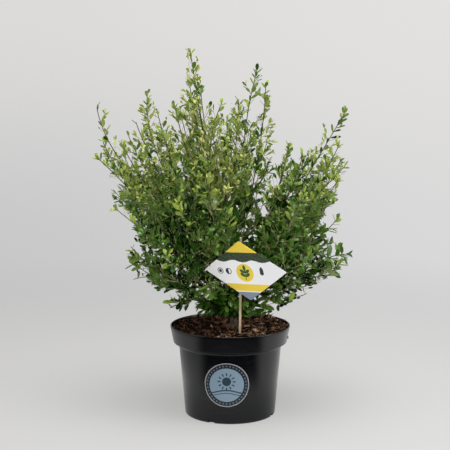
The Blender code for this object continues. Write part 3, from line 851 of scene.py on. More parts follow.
@dataclass
class Shape:
    """A small shape that is repeated many times, with a material index for each face."""

    places: np.ndarray
    faces: list[tuple[int, ...]]
    looks: list[int]
    flat: np.ndarray | None = None

    def joined(self, turns: Sequence[Matrix], roots: Sequence[Vector]) -> RawMesh:
        """Many copies in one mesh.

        Args:
            turns: how each copy is turned and sized.
            roots: where each copy stands.

        Returns:
            The joined copies.
        """
        count = len(turns)
        places = np.einsum("nij,vj->nvi", np.array(turns), self.places) + np.array(roots)[:, None, :]
        corners = np.array([corner for face in self.faces for corner in face])
        return RawMesh(
            places.reshape(-1, 3),
            (corners[None, :] + len(self.places) * np.arange(count)[:, None]).ravel(),
            np.tile([len(face) for face in self.faces], count),
            np.tile(self.looks, count),
            None if self.flat is None else np.tile(self.flat[corners], (count, 1)),
        )


class StemBundle:
    """Many thin tapering stems that become one joined mesh."""

    def __init__(self, sides: int) -> None:
        """Start empty.

        Args:
            sides: how many sides a stem has.
        """
        self.sides = sides
        self.places: list[np.ndarray] = []
        self.corners: list[np.ndarray] = []
        self.sizes: list[np.ndarray] = []
        self.count = 0
        turns = np.arange(sides) * math.tau / sides
        self.circle = np.stack((np.cos(turns), np.sin(turns)), axis=1)

    def add(self, points: Sequence[Vector], radii: Sequence[float]) -> None:
        """Add one stem.

        Args:
            points: where it runs.
            radii: its radius at each point.
        """
        rings = []
        for place, radius in zip(frames_along(points), radii):
            axes = np.array(place)
            rings.append(axes[:3, 3] + self.circle @ axes[:3, :2].T * radius)
        sides, last = self.sides, (len(rings) - 1) * self.sides
        around = np.arange(sides)
        after = (around + 1) % sides
        ring = np.stack((around, after, after + sides, around + sides), axis=1).ravel()
        quads = (ring[None, :] + np.arange(0, last, sides)[:, None]).ravel()
        self.places.append(np.concatenate(rings))
        self.corners.append(np.concatenate((quads, around[::-1], around + last)) + self.count)
        self.sizes.append(np.array([4] * last + [sides, sides]))
        self.count += sides * len(rings)

    def build(self, name: str, material: bpy.types.Material, slot: str, nodes: Iterable[str]) -> None:
        """Make the piece.

        Args:
            name: its name.
            material: its material.
            slot: not used.
            nodes: the solids that it stands for.
        """
        sizes = np.concatenate(self.sizes)
        places, corners = np.concatenate(self.places), np.concatenate(self.corners)
        whole = RawMesh(places, corners, sizes, np.zeros(len(sizes)))
        make_piece(name, whole.build(name, 60.0), [material], nodes)


class Line:
    """A polyline that is read by the distance along it."""

    def __init__(self, points: Sequence[Vector]) -> None:
        """Measure the line.

        Args:
            points: its corners from foot to tip.
        """
        self.points = [Vector(point) for point in points]
        self.marks = [0.0]
        for start, end in zip(self.points, self.points[1:]):
            self.marks.append(self.marks[-1] + (end - start).length)
        self.length = self.marks[-1]

    def at(self, distance: float) -> tuple[Vector, Vector]:
        """Read the line.

        Args:
            distance: how far along it.

        Returns:
            The point there and the heading.
        """
        within = min(max(distance, 0.0), self.length * 0.99999)
        index = int(np.searchsorted(self.marks, within, side="right")) - 1
        start, end = self.points[index], self.points[index + 1]
        share = (distance - self.marks[index]) / (self.marks[index + 1] - self.marks[index])
        return start.lerp(end, share), (end - start).normalized()

    def part(self, start: float, length: float, steps: int) -> "Line":
        """A stretch of the line, in even steps."""
        return Line([self.at(start + length * step / steps)[0] for step in range(steps + 1)])


# The pot and its compost


@dataclass
class NurseryPot:
    """The thin-walled pot with its deep rim band."""

    height: float = 0.172
    rim: float = 0.115
    band_foot: float = 0.1095
    band: float = 0.031
    body: float = 0.0985
    shoulder: float = 0.038
    base: float = 0.087
    wall: float = 0.0022
    floor: float = 0.003
    foot_round: float = 0.003
    lip_round: float = 0.0011
    steps: int = 160
    slots: int = 4
    slot_size: tuple[float, float, float] = (0.014, 0.012, 0.011)
    slot_turn: float = math.radians(-114)
    nub_size: tuple[float, float, float] = (0.0032, 0.0044, 0.0050)
    nub_place: tuple[float, float, float] = (0.1107, 0.0, 0.1478)
    nub_turn: float = math.radians(-4)

    def inner(self, offset: float) -> list[Pair]:
        """The inner wall from floor to lip.

        Args:
            offset: how far it is moved inwards.

        Returns:
            Its corners.
        """
        inset = self.wall + offset
        return [
            (self.base - inset, self.floor + offset),
            (self.body - inset, self.height - self.shoulder),
            (self.band_foot - inset, self.height - self.band),
        ]

    def profile(self) -> list[Pair]:
        """The outline from the underside's middle round the wall to the floor's middle.

        Returns:
            Its corners.
        """
        shoulder = self.height - self.band
        neck = self.height - self.shoulder
        lip = (self.rim - self.lip_round, self.height - self.lip_round)
        inner_lip = (self.rim - self.wall + 0.0006, self.height - 0.0006)
        return [
            (0.0, 0.0012),
            (self.base - 0.011, 0.0012),
            (self.base - 0.0095, 0.0),
            *arc((self.base - self.foot_round, self.foot_round), self.foot_round, (-90, 0), 6),
            (self.body - 0.0002, neck - 0.0012),
            (self.body, neck),
            (self.body + 0.0012, neck + 0.0014),
            (self.band_foot - 0.0016, shoulder - 0.0012),
            (self.band_foot - 0.0004, shoulder - 0.0006),
            (self.band_foot, shoulder + 0.0006),
            (self.rim - 0.0006, self.height - 0.0052),
            (self.rim - 0.0001, self.height - 0.0040),
            *arc(lip, self.lip_round, (0, 90), 5),
            *arc(inner_lip, 0.0006, (90, 180), 3),
            *reversed(self.inner(0.0)),
            (0.0, self.floor),
        ]

    def nub(self) -> bmesh.types.BMesh:
        """The small moulded catch under the rim at one side.

        Returns:
            The catch in its place.
        """
        bm = bevelled_box(self.nub_size, 0.0009)
        place = Matrix.Rotation(self.nub_turn, 4, "Z") @ Matrix.Translation(self.nub_place)
        bmesh.ops.transform(bm, matrix=place, verts=bm.verts[:])
        return bm

    def build(self) -> None:
        """Make the pot, cut its drainage slots and dress it."""
        slots = bmesh.new()
        for slot in range(self.slots):
            turn = Matrix.Rotation(self.slot_turn + slot * math.tau / self.slots, 4, "Z")
            place = turn @ Matrix.Translation((self.base, 0, 0)) @ Matrix.Diagonal((*self.slot_size, 1))
            bmesh.ops.create_cube(slots, size=1, matrix=place)
        cutter = bpy.data.objects.new("slot_cutter", mesh_of("slot_cutter", slots))
        shell = bpy.data.objects.new("pot_shell", mesh_of("pot_shell", spun(self.profile(), self.steps)))
        for helper in (cutter, shell):
            bpy.context.scene.collection.objects.link(helper)
        cut = shell.modifiers.new("slots", "BOOLEAN")
        cut.operation = "DIFFERENCE"
        cut.solver = "EXACT"
        cut.object = cutter
        graph = bpy.context.evaluated_depsgraph_get()
        cut_mesh = bpy.data.meshes.new_from_object(shell.evaluated_get(graph))
        for helper in (cutter, shell):
            bpy.data.objects.remove(helper, do_unlink=True)
        bm = self.nub()
        bm.from_mesh(cut_mesh)
        mesh = mesh_of("nursery_pot", bm, 34.0)
        make_piece("nursery_pot", mesh, [PotPlastic().build()], ["pot"])


BED_FINISH = MottledFinish(
    "compost", (0.0018, 0.0010, 0.0006), (0.031, 0.017, 0.010), 190.0, 0.95, 900.0, 0.0012, 1.0, 0.06
)
FIBRE_FINISH = MottledFinish(
    "compost_fibre", (0.070, 0.026, 0.014), (0.300, 0.150, 0.085), 500.0, 0.8, 1800.0, 0.0003
)
CHIP_FINISHES = tuple(
    MottledFinish(name, low, high, 300.0, roughness, 1500.0, 0.0006, 1.0, specular)
    for name, low, high, roughness, specular in (
        ("dark_chip", (0.003, 0.0016, 0.001), (0.018, 0.010, 0.006), 0.9, 0.06),
        ("bark_chip", (0.011, 0.006, 0.0035), (0.138, 0.084, 0.051), 0.9, 0.1),
        ("red_chip", (0.042, 0.020, 0.011), (0.236, 0.132, 0.076), 0.88, 0.1),
        ("pale_chip", (0.200, 0.130, 0.080), (0.460, 0.340, 0.220), 0.85, 0.35),
    )
)


@dataclass
class Compost:
    """The compost in the pot, with its clumps, bark chips and fibres."""

    pot: NurseryPot
    level: float = 0.166
    heap: float = 0.006
    heap_turn: float = math.radians(20)
    flat_radius: float = 0.02
    middle: Pair = (0.008, 0.0)
    clearance: float = 0.0005
    relief: tuple[tuple[float, float, float], ...] = (
        (0.0044, 38, SEED),
        (0.0062, 110, 3.0),
        (0.0026, 300, 9.0),
    )
    rings: int = 44
    steps: int = 150
    chips: int = 1500
    chip_lengths: Pair = (0.0013, 0.0072)
    fibres: int = 620
    fibre_lengths: Pair = (0.006, 0.020)
    fibre_radii: Pair = (0.00025, 0.00080)

    def surface(self, x: float, y: float) -> float:
        """Read the compost's relief.

        Args:
            x: the place to the right.
            y: the place to the back.

        Returns:
            The height there.
        """
        away = math.hypot(x - self.middle[0], y - self.middle[1])
        fade = min(max((away - self.flat_radius * 0.6) / self.flat_radius, 0.15), 1.0)
        lumps = sum(
            size * noise.noise(Vector((x * scale, y * scale, layer))) for size, scale, layer in self.relief
        )
        toward = max(math.cos(math.atan2(y, x) - self.heap_turn), 0.0)
        heap = self.heap * toward**2 * math.hypot(x, y) / self.pot.rim
        return self.level + fade * (lumps + heap)

    def inside(self) -> float:
        """The radius that chips and fibres keep within."""
        return self.pot.rim - self.pot.wall - 0.003

    def bed(self) -> None:
        """The compost's own mass, which fills the pot."""
        side = self.pot.inner(self.clearance)
        edge = self.pot.rim - self.pot.wall - 0.0009
        rings = [(edge * ring / self.rings, self.level) for ring in range(self.rings, 0, -1)]
        bm = spun([(0.0, side[0][1]), *side, *rings, (0.0, self.level)], self.steps)
        for vert in bm.verts:
            if vert.co.z > self.level - 1e-4:
                x, y = vert.co.x, vert.co.y
                vert.co.x += 0.0008 * noise.noise(Vector((x * 400, y * 400, 21.0)))
                vert.co.z = self.surface(x, y)
        mesh = mesh_of("compost_bed", bm, 70.0)
        make_piece("compost_bed", mesh, [BED_FINISH.build()], ["soil"])

    def chip_shape(self) -> Shape:
        """A flake of bark with a few irregular faces.

        Returns:
            The flake, about 1 in radius.
        """
        bm = bmesh.new()
        bmesh.ops.create_icosphere(bm, subdivisions=1, radius=1.0)
        for vert in bm.verts:
            vert.co *= 1.0 + 0.35 * noise.noise(vert.co * 2.3)
            vert.co.z *= 0.8
        places = np.array([vert.co for vert in bm.verts])
        faces = [tuple(vert.index for vert in face.verts) for face in bm.faces]
        bm.free()
        return Shape(places, faces, [0] * len(faces))

    def spots(self, dice: random.Random, count: int) -> Iterator[Vector]:
        """Find places on the surface, more of them on the heap.

        Args:
            dice: where chance comes from.
            count: how many.

        Yields:
            Each place.
        """
        made = 0
        while made < count:
            away = self.inside() * math.sqrt(dice.random())
            turn = dice.uniform(0.0, math.tau)
            if dice.random() < 0.7 + 0.3 * math.cos(turn - self.heap_turn):
                x, y = away * math.cos(turn), away * math.sin(turn)
                made += 1
                yield Vector((x, y, self.surface(x, y)))

    def scatter_chips(self, dice: random.Random) -> None:
        """Bark chips in four browns, darker to the left and paler to the right: painted shade and light.

        Args:
            dice: where chance comes from.
        """
        turns: list[list[Matrix]] = [[] for _ in CHIP_FINISHES]
        roots: list[list[Vector]] = [[] for _ in CHIP_FINISHES]
        least, more = self.chip_lengths
        for spot in self.spots(dice, self.chips):
            # More dark chips to the left and pale ones to the right: painted shade and painted light.
            painted_light_share = min(max(0.5 + spot.x / self.pot.rim, 0.0), 1.5)
            weights = (64 - 16 * painted_light_share, 26, 2 + 17 * painted_light_share, 0.5 + 17 * painted_light_share)
            kind = dice.choices(range(len(CHIP_FINISHES)), weights)[0]
            long = least + more * dice.random() ** 2.0
            size = Matrix.Diagonal((long, long * dice.uniform(0.18, 0.5), long * dice.uniform(0.12, 0.3)))
            tilt = Matrix.Rotation(dice.gauss(0, 0.6), 3, "X") @ Matrix.Rotation(dice.gauss(0, 0.6), 3, "Y")
            turns[kind].append(Matrix.Rotation(dice.uniform(0, math.tau), 3, "Z") @ tilt @ size)
            roots[kind].append(spot + UP * long * 0.25)
        shape = self.chip_shape()
        for finish, kind_turns, kind_roots in zip(CHIP_FINISHES, turns, roots):
            mesh = shape.joined(kind_turns, kind_roots).build(finish.name, 30.0)
            make_piece(f"{finish.name}s", mesh, [finish.build()], ["soil"])

    def scatter_fibres(self, dice: random.Random) -> None:
        """Reddish fibres that arch over the chips.

        Args:
            dice: where chance comes from.
        """
        strands = StemBundle(4)
        for spot in self.spots(dice, self.fibres):
            heading = Vector((dice.uniform(-1, 1), dice.uniform(-1, 1), dice.uniform(-0.1, 0.5)))
            heading.normalize()
            bend = Vector((dice.uniform(-1, 1), dice.uniform(-1, 1), dice.uniform(-0.6, 0.2)))
            long = dice.uniform(*self.fibre_lengths)
            start = spot - UP * 0.0004
            end = start + heading * long + bend * long * 0.3
            end.z = max(end.z, start.z - 0.001)
            out = max(math.hypot(end.x, end.y) / self.inside(), 1.0)
            end.x, end.y = end.x / out, end.y / out
            middle = start.lerp(end, 0.5) + UP * long * 0.16
            thick = dice.uniform(*self.fibre_radii)
            strands.add(interpolate_bezier(start, middle, middle, end, 5), taper(thick, thick * 0.5, 5))
        strands.build("compost_fibres", FIBRE_FINISH.build(), "compost", ["soil"])

    def build(self) -> None:
        """Make the bed and what lies on it."""
        dice = random.Random(f"{SEED} chips")
        self.bed()
        self.scatter_chips(dice)
        self.scatter_fibres(dice)


# Limbs


@dataclass(frozen=True)
class Shoot:
    """A leading shoot: its bough, its tip round the pot's axis, and how it sways right and up."""

    name: str
    bough: str
    turn: float
    reach: float
    height: float
    spread: float
    sway: float = 0.0
    lift: float = 0.0

    def tip(self) -> Vector:
        """The furthest point that the shoot reaches."""
        turn = math.radians(self.turn)
        return Vector((self.reach * math.cos(turn), self.reach * math.sin(turn), self.height))


SHOOTS = tuple(
    Shoot(*row)
    for row in (
        ("left_low_back", "left_low", 155, 0.216, 0.242, 0.042, 0.0, 0.026),
        ("left_low", "left_low", -157, 0.201, 0.337, 0.046),
        ("left_low_front", "left_low", -144, 0.151, 0.237, 0.038),
        ("left_mid_back", "left_mid", 157, 0.255, 0.426, 0.050, 0.0, 0.012),
        ("left_mid_front", "left_mid", -150, 0.240, 0.411, 0.050, 0.0, 0.014),
        ("left_outer", "left_mid", -166, 0.255, 0.499, 0.046, 0.006, 0.020),
        ("left_high_outer", "left_high", 175, 0.255, 0.591, 0.044, -0.016),
        ("left_high", "left_high", 151, 0.185, 0.618, 0.050, -0.020),
        ("left_high_front", "left_high", -139, 0.167, 0.563, 0.050),
        ("top", "top_left", 180, 0.076, 0.700, 0.046, 0.003),
        ("top_back", "top_left", 135, 0.142, 0.592, 0.050),
        ("top_front", "top_left", -99, 0.091, 0.599, 0.042, -0.026),
        ("heart", "top_left", 128, 0.025, 0.487, 0.050),
        ("top_right_back", "top_right", 56, 0.097, 0.664, 0.044, -0.014),
        ("top_right", "top_right", -43, 0.088, 0.633, 0.042, 0.004),
        ("right_high", "right_high", 8, 0.226, 0.586, 0.044, -0.012),
        ("right_high_front", "right_high", -21, 0.225, 0.484, 0.044, -0.014, 0.006),
        ("right_high_inner", "right_high", -31, 0.155, 0.507, 0.044),
        ("right_mid_back", "right_mid", 26, 0.231, 0.422, 0.048),
        ("right_mid", "right_mid", 0, 0.211, 0.387, 0.044),
        ("right_low", "right_low", -15, 0.237, 0.315, 0.044, 0.0, 0.030),
        ("right_low_back", "right_low", 18, 0.229, 0.252, 0.042, 0.0, 0.024),
        ("right_low_front", "right_low", -34, 0.142, 0.235, 0.036),
        ("front_left", "front_left", -106, 0.166, 0.489, 0.050),
        ("front_left_mid", "front_left", -116, 0.211, 0.431, 0.050),
        ("front_centre", "front_left", -92, 0.140, 0.417, 0.044),
        ("front_left_low", "front_left_low", -124, 0.205, 0.337, 0.048),
        ("front_low", "front_left_low", -108, 0.137, 0.277, 0.040),
        ("front_right", "front_right", -53, 0.213, 0.446, 0.048),
        ("front_right_low", "front_right", -50, 0.235, 0.346, 0.048),
        ("back_left", "back_left", 117, 0.202, 0.498, 0.052),
        ("back_left_mid", "back_left", 133, 0.244, 0.394, 0.052),
        ("back_left_low", "back_low", 115, 0.221, 0.266, 0.048),
        ("back_centre", "back_centre", 86, 0.200, 0.413, 0.052),
        ("back_low", "back_low", 75, 0.207, 0.261, 0.048),
        ("back_right", "back_right", 53, 0.239, 0.425, 0.052),
        ("back_right_low", "back_right", 42, 0.253, 0.312, 0.050),
        ("back_right_high", "back_right", 45, 0.168, 0.509, 0.048),
    )
)
FINER_SHOOTS = tuple(
    Shoot(*row)
    for row in (
        ("left_high_fork", "left_high", 175, 0.196, 0.538, 0.038),
        ("left_shoulder", "left_high", 168, 0.186, 0.562, 0.046),
        ("left_shoulder_low", "left_high", -172, 0.204, 0.522, 0.044),
        ("left_high_inner", "left_high", -160, 0.144, 0.585, 0.044),
        ("left_outer_fork", "left_mid", 172, 0.214, 0.480, 0.036),
        ("left_outer_tip", "left_mid", 176, 0.244, 0.524, 0.024),
        ("top_left_fork", "top_left", 164, 0.112, 0.596, 0.030),
        ("top_spire_fork", "top_left", 160, 0.060, 0.622, 0.036),
        ("top_spire_left", "top_left", 174, 0.078, 0.638, 0.036),
        ("top_front_fork", "top_left", -73, 0.052, 0.606, 0.050),
        ("top_heart", "top_left", -100, 0.036, 0.574, 0.050),
        ("right_high_fork", "right_high", -8, 0.206, 0.523, 0.040),
        ("right_high_edge", "right_high", 12, 0.222, 0.492, 0.040),
        ("right_inner_back", "right_high", 22, 0.124, 0.522, 0.040),
        ("right_mid_fork", "right_mid", -14, 0.210, 0.466, 0.036),
        ("right_low_fork", "right_low", 2, 0.222, 0.300, 0.036),
        ("left_low_fork", "left_low", 178, 0.196, 0.300, 0.036),
        ("left_low_under", "left_low", -165, 0.122, 0.226, 0.032),
        ("right_low_under", "right_low", -8, 0.150, 0.238, 0.034),
        ("inner_left_low", "front_left_low", -125, 0.078, 0.350, 0.040),
        ("inner_right_low", "front_right", -20, 0.070, 0.350, 0.040),
    )
)
BOUGH_NAMES = tuple(sorted({shoot.bough for shoot in SHOOTS}))


@dataclass
class Limbs:
    """The trunk and the boughs, with the relief of their bark."""

    foot: Vector = field(default_factory=lambda: Vector((0.008, 0.0, 0.1663)))
    length: float = 0.036
    lean: Vector = field(default_factory=lambda: Vector((-0.10, 0.03, 1.0)).normalized())
    fork_radius: float = 0.0062
    flare: float = 0.0058
    flare_height: float = 0.007
    buttress: float = 0.16
    trunk_rings: int = 44
    trunk_sides: int = 44
    bough_radii: Pair = (0.0036, 0.0024)
    bough_longest: float = 0.062
    bough_share: float = 0.36
    bough_rings: int = 26
    bough_sides: int = 18
    bow: float = 0.16
    relief: float = 0.00042

    def bough_line(self, name: str, count: int) -> list[Vector]:
        """Points of a bough from inside the trunk to its tip.

        Args:
            name: the bough's name.
            count: how many points.

        Returns:
            The points.
        """
        tips = [shoot.tip() for shoot in SHOOTS if shoot.bough == name]
        fork = self.foot + self.lean * self.length
        heading = sum(((tip - fork).normalized() for tip in tips), Vector()).normalized()
        length = min(self.bough_longest, self.bough_share * min((tip - fork).length for tip in tips))
        start = self.foot + self.lean * self.length * (0.42 + 0.5 * heading.z)
        end = fork + heading * length
        bow = (heading - UP * heading.z) * length * self.bow
        first = start.lerp(end, 0.35) + bow
        second = start.lerp(end, 0.7) + bow * 0.6
        return interpolate_bezier(start, first, second, end, count)

    def roughened(self, bm: bmesh.types.BMesh, scale: float, amount: float) -> None:
        """Push the surface in and out as long ridges and small cracks.

        Args:
            bm: the limb.
            scale: how many ridges there are to the metre.
            amount: how far the surface moves.
        """
        bm.normal_update()
        moves = []
        for vert in bm.verts:
            place = Vector((vert.co.x * scale, vert.co.y * scale, vert.co.z * scale * 0.28))
            ridge = 1.0 - abs(noise.noise(place)) * 2.4
            crumb = noise.noise(vert.co * scale * 2.7)
            moves.append(vert.normal * amount * (0.75 * ridge + 0.35 * crumb - 0.35))
        for vert, move in zip(bm.verts, moves):
            vert.co += move

    def trunk(self) -> bmesh.types.BMesh:
        """The trunk from its flared foot to its fork.

        Returns:
            The trunk.
        """
        count = self.trunk_rings
        points = [self.foot + self.lean * self.length * step / (count - 1) for step in range(count)]
        radii = []
        for step in range(count):
            share = step / (count - 1)
            spread = self.flare * math.exp(-share * self.length / self.flare_height)
            crown = 1.0 - max(share - 0.86, 0.0) ** 2 * 20.0
            radii.append((self.fork_radius * (1.1 - 0.1 * share) + spread) * crown)
        bm = tube(points, radii, self.trunk_sides)
        for vert in bm.verts:
            out = vert.co - self.foot
            fade = math.exp(-max(out.dot(self.lean), 0.0) / self.flare_height)
            swell = self.buttress * fade * math.cos(3 * math.atan2(out.y, out.x))
            vert.co.x += out.x * swell
            vert.co.y += out.y * swell
        self.roughened(bm, 420.0, self.relief * 1.3)
        for vert in bm.verts:
            vert.co.z = max(vert.co.z, self.foot.z)
        return bm

    def bough(self, name: str) -> bmesh.types.BMesh:
        """One bough with its collar and its bark.

        Args:
            name: the bough's name.

        Returns:
            The bough.
        """
        radii = taper(*self.bough_radii, self.bough_rings)
        radii[0:5] = [radius * (1.28 - 0.06 * index) for index, radius in enumerate(radii[0:5])]
        radii[-1] *= 0.7
        bm = tube(self.bough_line(name, self.bough_rings), radii, self.bough_sides)
        self.roughened(bm, 560.0, self.relief * 0.7)
        return bm

    def build(self) -> None:
        """Make the trunk and the boughs."""
        bark = MottledFinish(
            "bark", (0.028, 0.021, 0.015), (0.100, 0.078, 0.057), 260.0, 0.86, 900.0, 0.0006, 0.4
        ).build()
        make_piece("trunk_bark", mesh_of("trunk_bark", self.trunk(), 80.0), [bark], ["trunk"])
        boughs = merged(self.bough(name) for name in BOUGH_NAMES)
        make_piece("bough_bark", mesh_of("bough_bark", boughs, 80.0), [bark], BOUGHS)


# The crown


class LeafTint(Enum):
    """The tints that the sprays are dealt."""

    # The young and fresh tints are partly young growth and partly painted light.
    YOUNG = "young"
    FRESH = "fresh"
    GREEN = "green"
    # The deep tint is partly a darker green and partly painted shade; the shade tint is painted shade.
    DEEP = "deep"
    SHADE = "shade"
    FADED = "faded"


class StemKind(Enum):
    """The finishes of stems and twigs."""

    WOODY = "woody_stems"
    PALE = "pale_stems"
    BROWN = "brown_twigs"
    SOFT = "soft_twigs"


STEM_SIDES = {StemKind.WOODY: 7, StemKind.PALE: 7, StemKind.BROWN: 5, StemKind.SOFT: 5}
STEM_FINISHES = {
    kind: MottledFinish(kind.value[:-1], low, high, scale, roughness, scale * 5.0, relief, 0.4)
    for kind, low, high, scale, roughness, relief in (
        (StemKind.WOODY, (0.028, 0.020, 0.011), (0.108, 0.080, 0.044), 240.0, 0.8, 0.0003),
        (StemKind.PALE, (0.066, 0.078, 0.026), (0.185, 0.205, 0.084), 240.0, 0.8, 0.0003),
        (StemKind.BROWN, (0.056, 0.026, 0.012), (0.150, 0.082, 0.042), 300.0, 0.7, 0.0002),
        (StemKind.SOFT, (0.190, 0.210, 0.080), (0.340, 0.360, 0.160), 300.0, 0.6, 0.0002),
    )
}
LEAF_FINISHES = tuple(
    LeafFinish(tint.value, *looks)
    for tint, *looks in (
        (LeafTint.YOUNG, (0.390, 0.410, 0.110), (0.56, 0.57, 0.26), (0.36, 0.41, 0.14), 0.42),
        (LeafTint.FRESH, (0.214, 0.300, 0.034), (0.42, 0.46, 0.15), (0.25, 0.34, 0.09), 0.38),
        (LeafTint.GREEN, (0.066, 0.156, 0.010), (0.20, 0.30, 0.09), (0.108, 0.205, 0.034), 0.34, 0.70),
        (LeafTint.DEEP, (0.017, 0.064, 0.003), (0.07, 0.15, 0.03), (0.026, 0.080, 0.006), 0.33, 0.24),
        (LeafTint.SHADE, (0.0022, 0.01, 0.0006), (0.015, 0.04, 0.006), (0.004, 0.017, 0.0015), 0.32, 0.05),
        (LeafTint.FADED, (0.360, 0.330, 0.070), (0.50, 0.45, 0.18), (0.38, 0.36, 0.10), 0.45),
    )
)


def leaf_shape() -> Shape:
    """A domed oval leaf of length 1 along Y, closed below, with a map for its midrib.

    Returns:
        The leaf, with its underside as the second material.
    """
    stations = ((0.14, 0.115), (0.50, 0.235), (0.84, 0.180))
    dome, droop = 0.050, -0.10
    rows = [(0.0, 0.0, 0.0), (0.0, 1.0, droop)]
    flat = [(0.5, 0.0), (0.5, 1.0)]
    for along, half in stations:
        for side in (-1, 0, 1):
            rows.append((side * half, along, droop * along * along + (0.0 if side else dome)))
            flat.append((0.5 + side / 2, along))
    left, rib, right = (range(first, len(rows), 3) for first in (2, 3, 4))
    top = [(0, right[0], rib[0]), (0, rib[0], left[0]), (right[-1], 1, rib[-1]), (rib[-1], 1, left[-1])]
    under = [(0, left[0], right[0]), (left[-1], 1, right[-1])]
    for low in range(len(stations) - 1):
        high = low + 1
        top.append((right[low], right[high], rib[high], rib[low]))
        top.append((rib[low], rib[high], left[high], left[low]))
        under.append((left[low], left[high], right[high], right[low]))
    return Shape(np.array(rows), top + under, [0] * len(top) + [1] * len(under), np.array(flat))


@dataclass
class LabelPlace:
    """Where the card stands, and its directions."""

    foot: Vector = field(default_factory=lambda: Vector((0.018, -0.0474, 0.115)))
    tilt: float = math.radians(20)
    soil: float = 0.166
    above: float = 0.205
    width: float = 0.0046
    depth: float = 0.003
    card_up: float = 0.141
    card_side: float = 0.0106
    card_turn: float = math.radians(30)
    card_roll: float = math.radians(13.4)
    half_width: float = 0.086
    half_height: float = 0.059
    thickness: float = 0.0008
    gap: float = 0.0003

    def lean(self) -> Vector:
        """The stick's direction."""
        return Vector((0.0, -math.sin(self.tilt), math.cos(self.tilt)))

    def buried(self) -> float:
        """Length of the stick in the compost."""
        return (self.soil - self.foot.z) / self.lean().z

    def axes(self) -> tuple[Vector, Vector, Vector, Vector]:
        """Work out how the card stands.

        Returns:
            Centre of the card's back, and its directions across, up and out to the front.
        """
        lean = self.lean()
        across = Matrix.Rotation(-self.card_turn, 3, lean) @ Vector((1, 0, 0))
        front = across.cross(lean)
        corner = math.hypot(self.width, self.depth) / 2
        centre = self.foot + lean * (self.buried() + self.card_up)
        centre += across * self.card_side + front * (corner + self.gap)
        up = lean * math.cos(self.card_roll) - across * math.sin(self.card_roll)
        return centre, up.cross(front), up, front


@dataclass
class Space:
    """Where foliage may stand.

    A sky gap is a place that the front view leaves open, by its place across and up in the upright
    plane through the pot's axis, and its radius. The low edge is the crown's lower outline there.
    """

    label: LabelPlace
    view: Vector = field(default_factory=lambda: Vector((-0.01, -2.0, 0.608)))
    sky_gaps: tuple[tuple[float, float, float], ...] = (
        (0.048, 0.456, 0.0060), (0.052, 0.420, 0.0055), (0.059, 0.404, 0.0060), (0.065, 0.390, 0.0068),
        (0.038, 0.383, 0.0062), (0.086, 0.448, 0.0075), (0.090, 0.492, 0.0080), (0.112, 0.424, 0.0055),
        (-0.216, 0.368, 0.0150), (-0.201, 0.354, 0.0090), (-0.224, 0.443, 0.0110),
        (-0.236, 0.465, 0.0090), (-0.212, 0.450, 0.0080), (-0.197, 0.371, 0.0090),
        (-0.209, 0.389, 0.0080), (-0.193, 0.493, 0.0080), (-0.084, 0.544, 0.0060),
        (-0.046, 0.600, 0.0085), (-0.024, 0.583, 0.0075), (0.050, 0.586, 0.0110), (0.106, 0.562, 0.0100),
        (0.087, 0.487, 0.0060), (0.124, 0.494, 0.0075), (0.187, 0.372, 0.0085), (0.190, 0.390, 0.0085),
        (0.219, 0.428, 0.0130), (0.160, 0.524, 0.0100), (0.094, 0.562, 0.0080), (0.092, 0.536, 0.0085),
        (-0.094, 0.556, 0.0085), (-0.086, 0.668, 0.0060), (0.042, 0.570, 0.0085), (0.030, 0.532, 0.0070),
        (-0.050, 0.574, 0.0080), (-0.178, 0.552, 0.0085), (-0.133, 0.567, 0.0070), (0.093, 0.509, 0.0095),
        (0.117, 0.528, 0.0075), (0.191, 0.444, 0.0080),
    )
    low_edge: tuple[Pair, ...] = (
        (-0.178, 0.268), (-0.150, 0.246), (-0.128, 0.212), (-0.090, 0.184), (0.090, 0.186),
        (0.100, 0.203), (0.135, 0.223), (0.154, 0.238), (0.185, 0.260),
    )
    ragged: float = 0.30
    ragged_waves: float = 3.0
    ragged_shift: float = 400.0
    pot_radius: float = 0.09
    floor: float = 0.176
    floor_rise: float = 0.52
    box_margin: float = 0.0012
    card_gap: float = 0.006
    card_room: float = 1.06

    def __post_init__(self) -> None:
        """Work out the low edge, the card's directions and the box."""
        self.edge_across, self.edge_up = np.array(self.low_edge).T
        self.card = self.label.axes()
        margin = Vector((1, 1, 1)) * self.box_margin
        self.low, self.high = Vector(CAD_BOX[0]) + margin, Vector(CAD_BOX[1]) - margin

    def seen(self, place: Vector) -> Vector:
        """Where a place shows in the upright plane through the pot's axis, from the front."""
        return self.view + (place - self.view) * (self.view.y / (self.view.y - place.y))

    def in_box(self, place: Vector) -> bool:
        """Whether a place is inside the solids' own box."""
        return all(low <= part <= high for low, part, high in zip(self.low, place, self.high))

    def in_sky(self, seen: Vector) -> bool:
        """Whether a place shows in one of the sky gaps.

        Args:
            seen: where it shows.

        Returns:
            Whether it does.
        """
        for x, z, radius in self.sky_gaps:
            turn = math.atan2(seen.z - z, seen.x - x)
            wave = math.sin(self.ragged_waves * turn + self.ragged_shift * x)
            if math.hypot(seen.x - x, seen.z - z) < radius * (1.0 + self.ragged * wave):
                return True
        return False

    def hides_card(self, place: Vector) -> bool:
        """Whether a place stands before the card, as seen from the front, or runs into it.

        Args:
            place: the place.

        Returns:
            Whether it does.
        """
        centre, across, up, front = self.card
        ahead = (place - centre).dot(front)
        if ahead < -self.card_gap:
            return False
        share = 1.0
        if ahead > self.card_gap:
            share = (centre - self.view).dot(front) / (place - self.view).dot(front)
        out = self.view + (place - self.view) * share - centre
        beside, above = abs(out.dot(across)), abs(out.dot(up))
        return beside / self.label.half_width + above / self.label.half_height < self.card_room

    def is_open(self, place: Vector) -> bool:
        """Whether foliage may stand at a place.

        Args:
            place: the place.

        Returns:
            Whether it may.
        """
        out_of_pot = max(math.hypot(place.x, place.y) - self.pot_radius, 0.0)
        if place.z < self.floor + self.floor_rise * out_of_pot:
            return False
        seen = self.seen(place)
        if seen.z < np.interp(seen.x, self.edge_across, self.edge_up) or self.in_sky(seen):
            return False
        return not self.hides_card(place) and self.in_box(place)


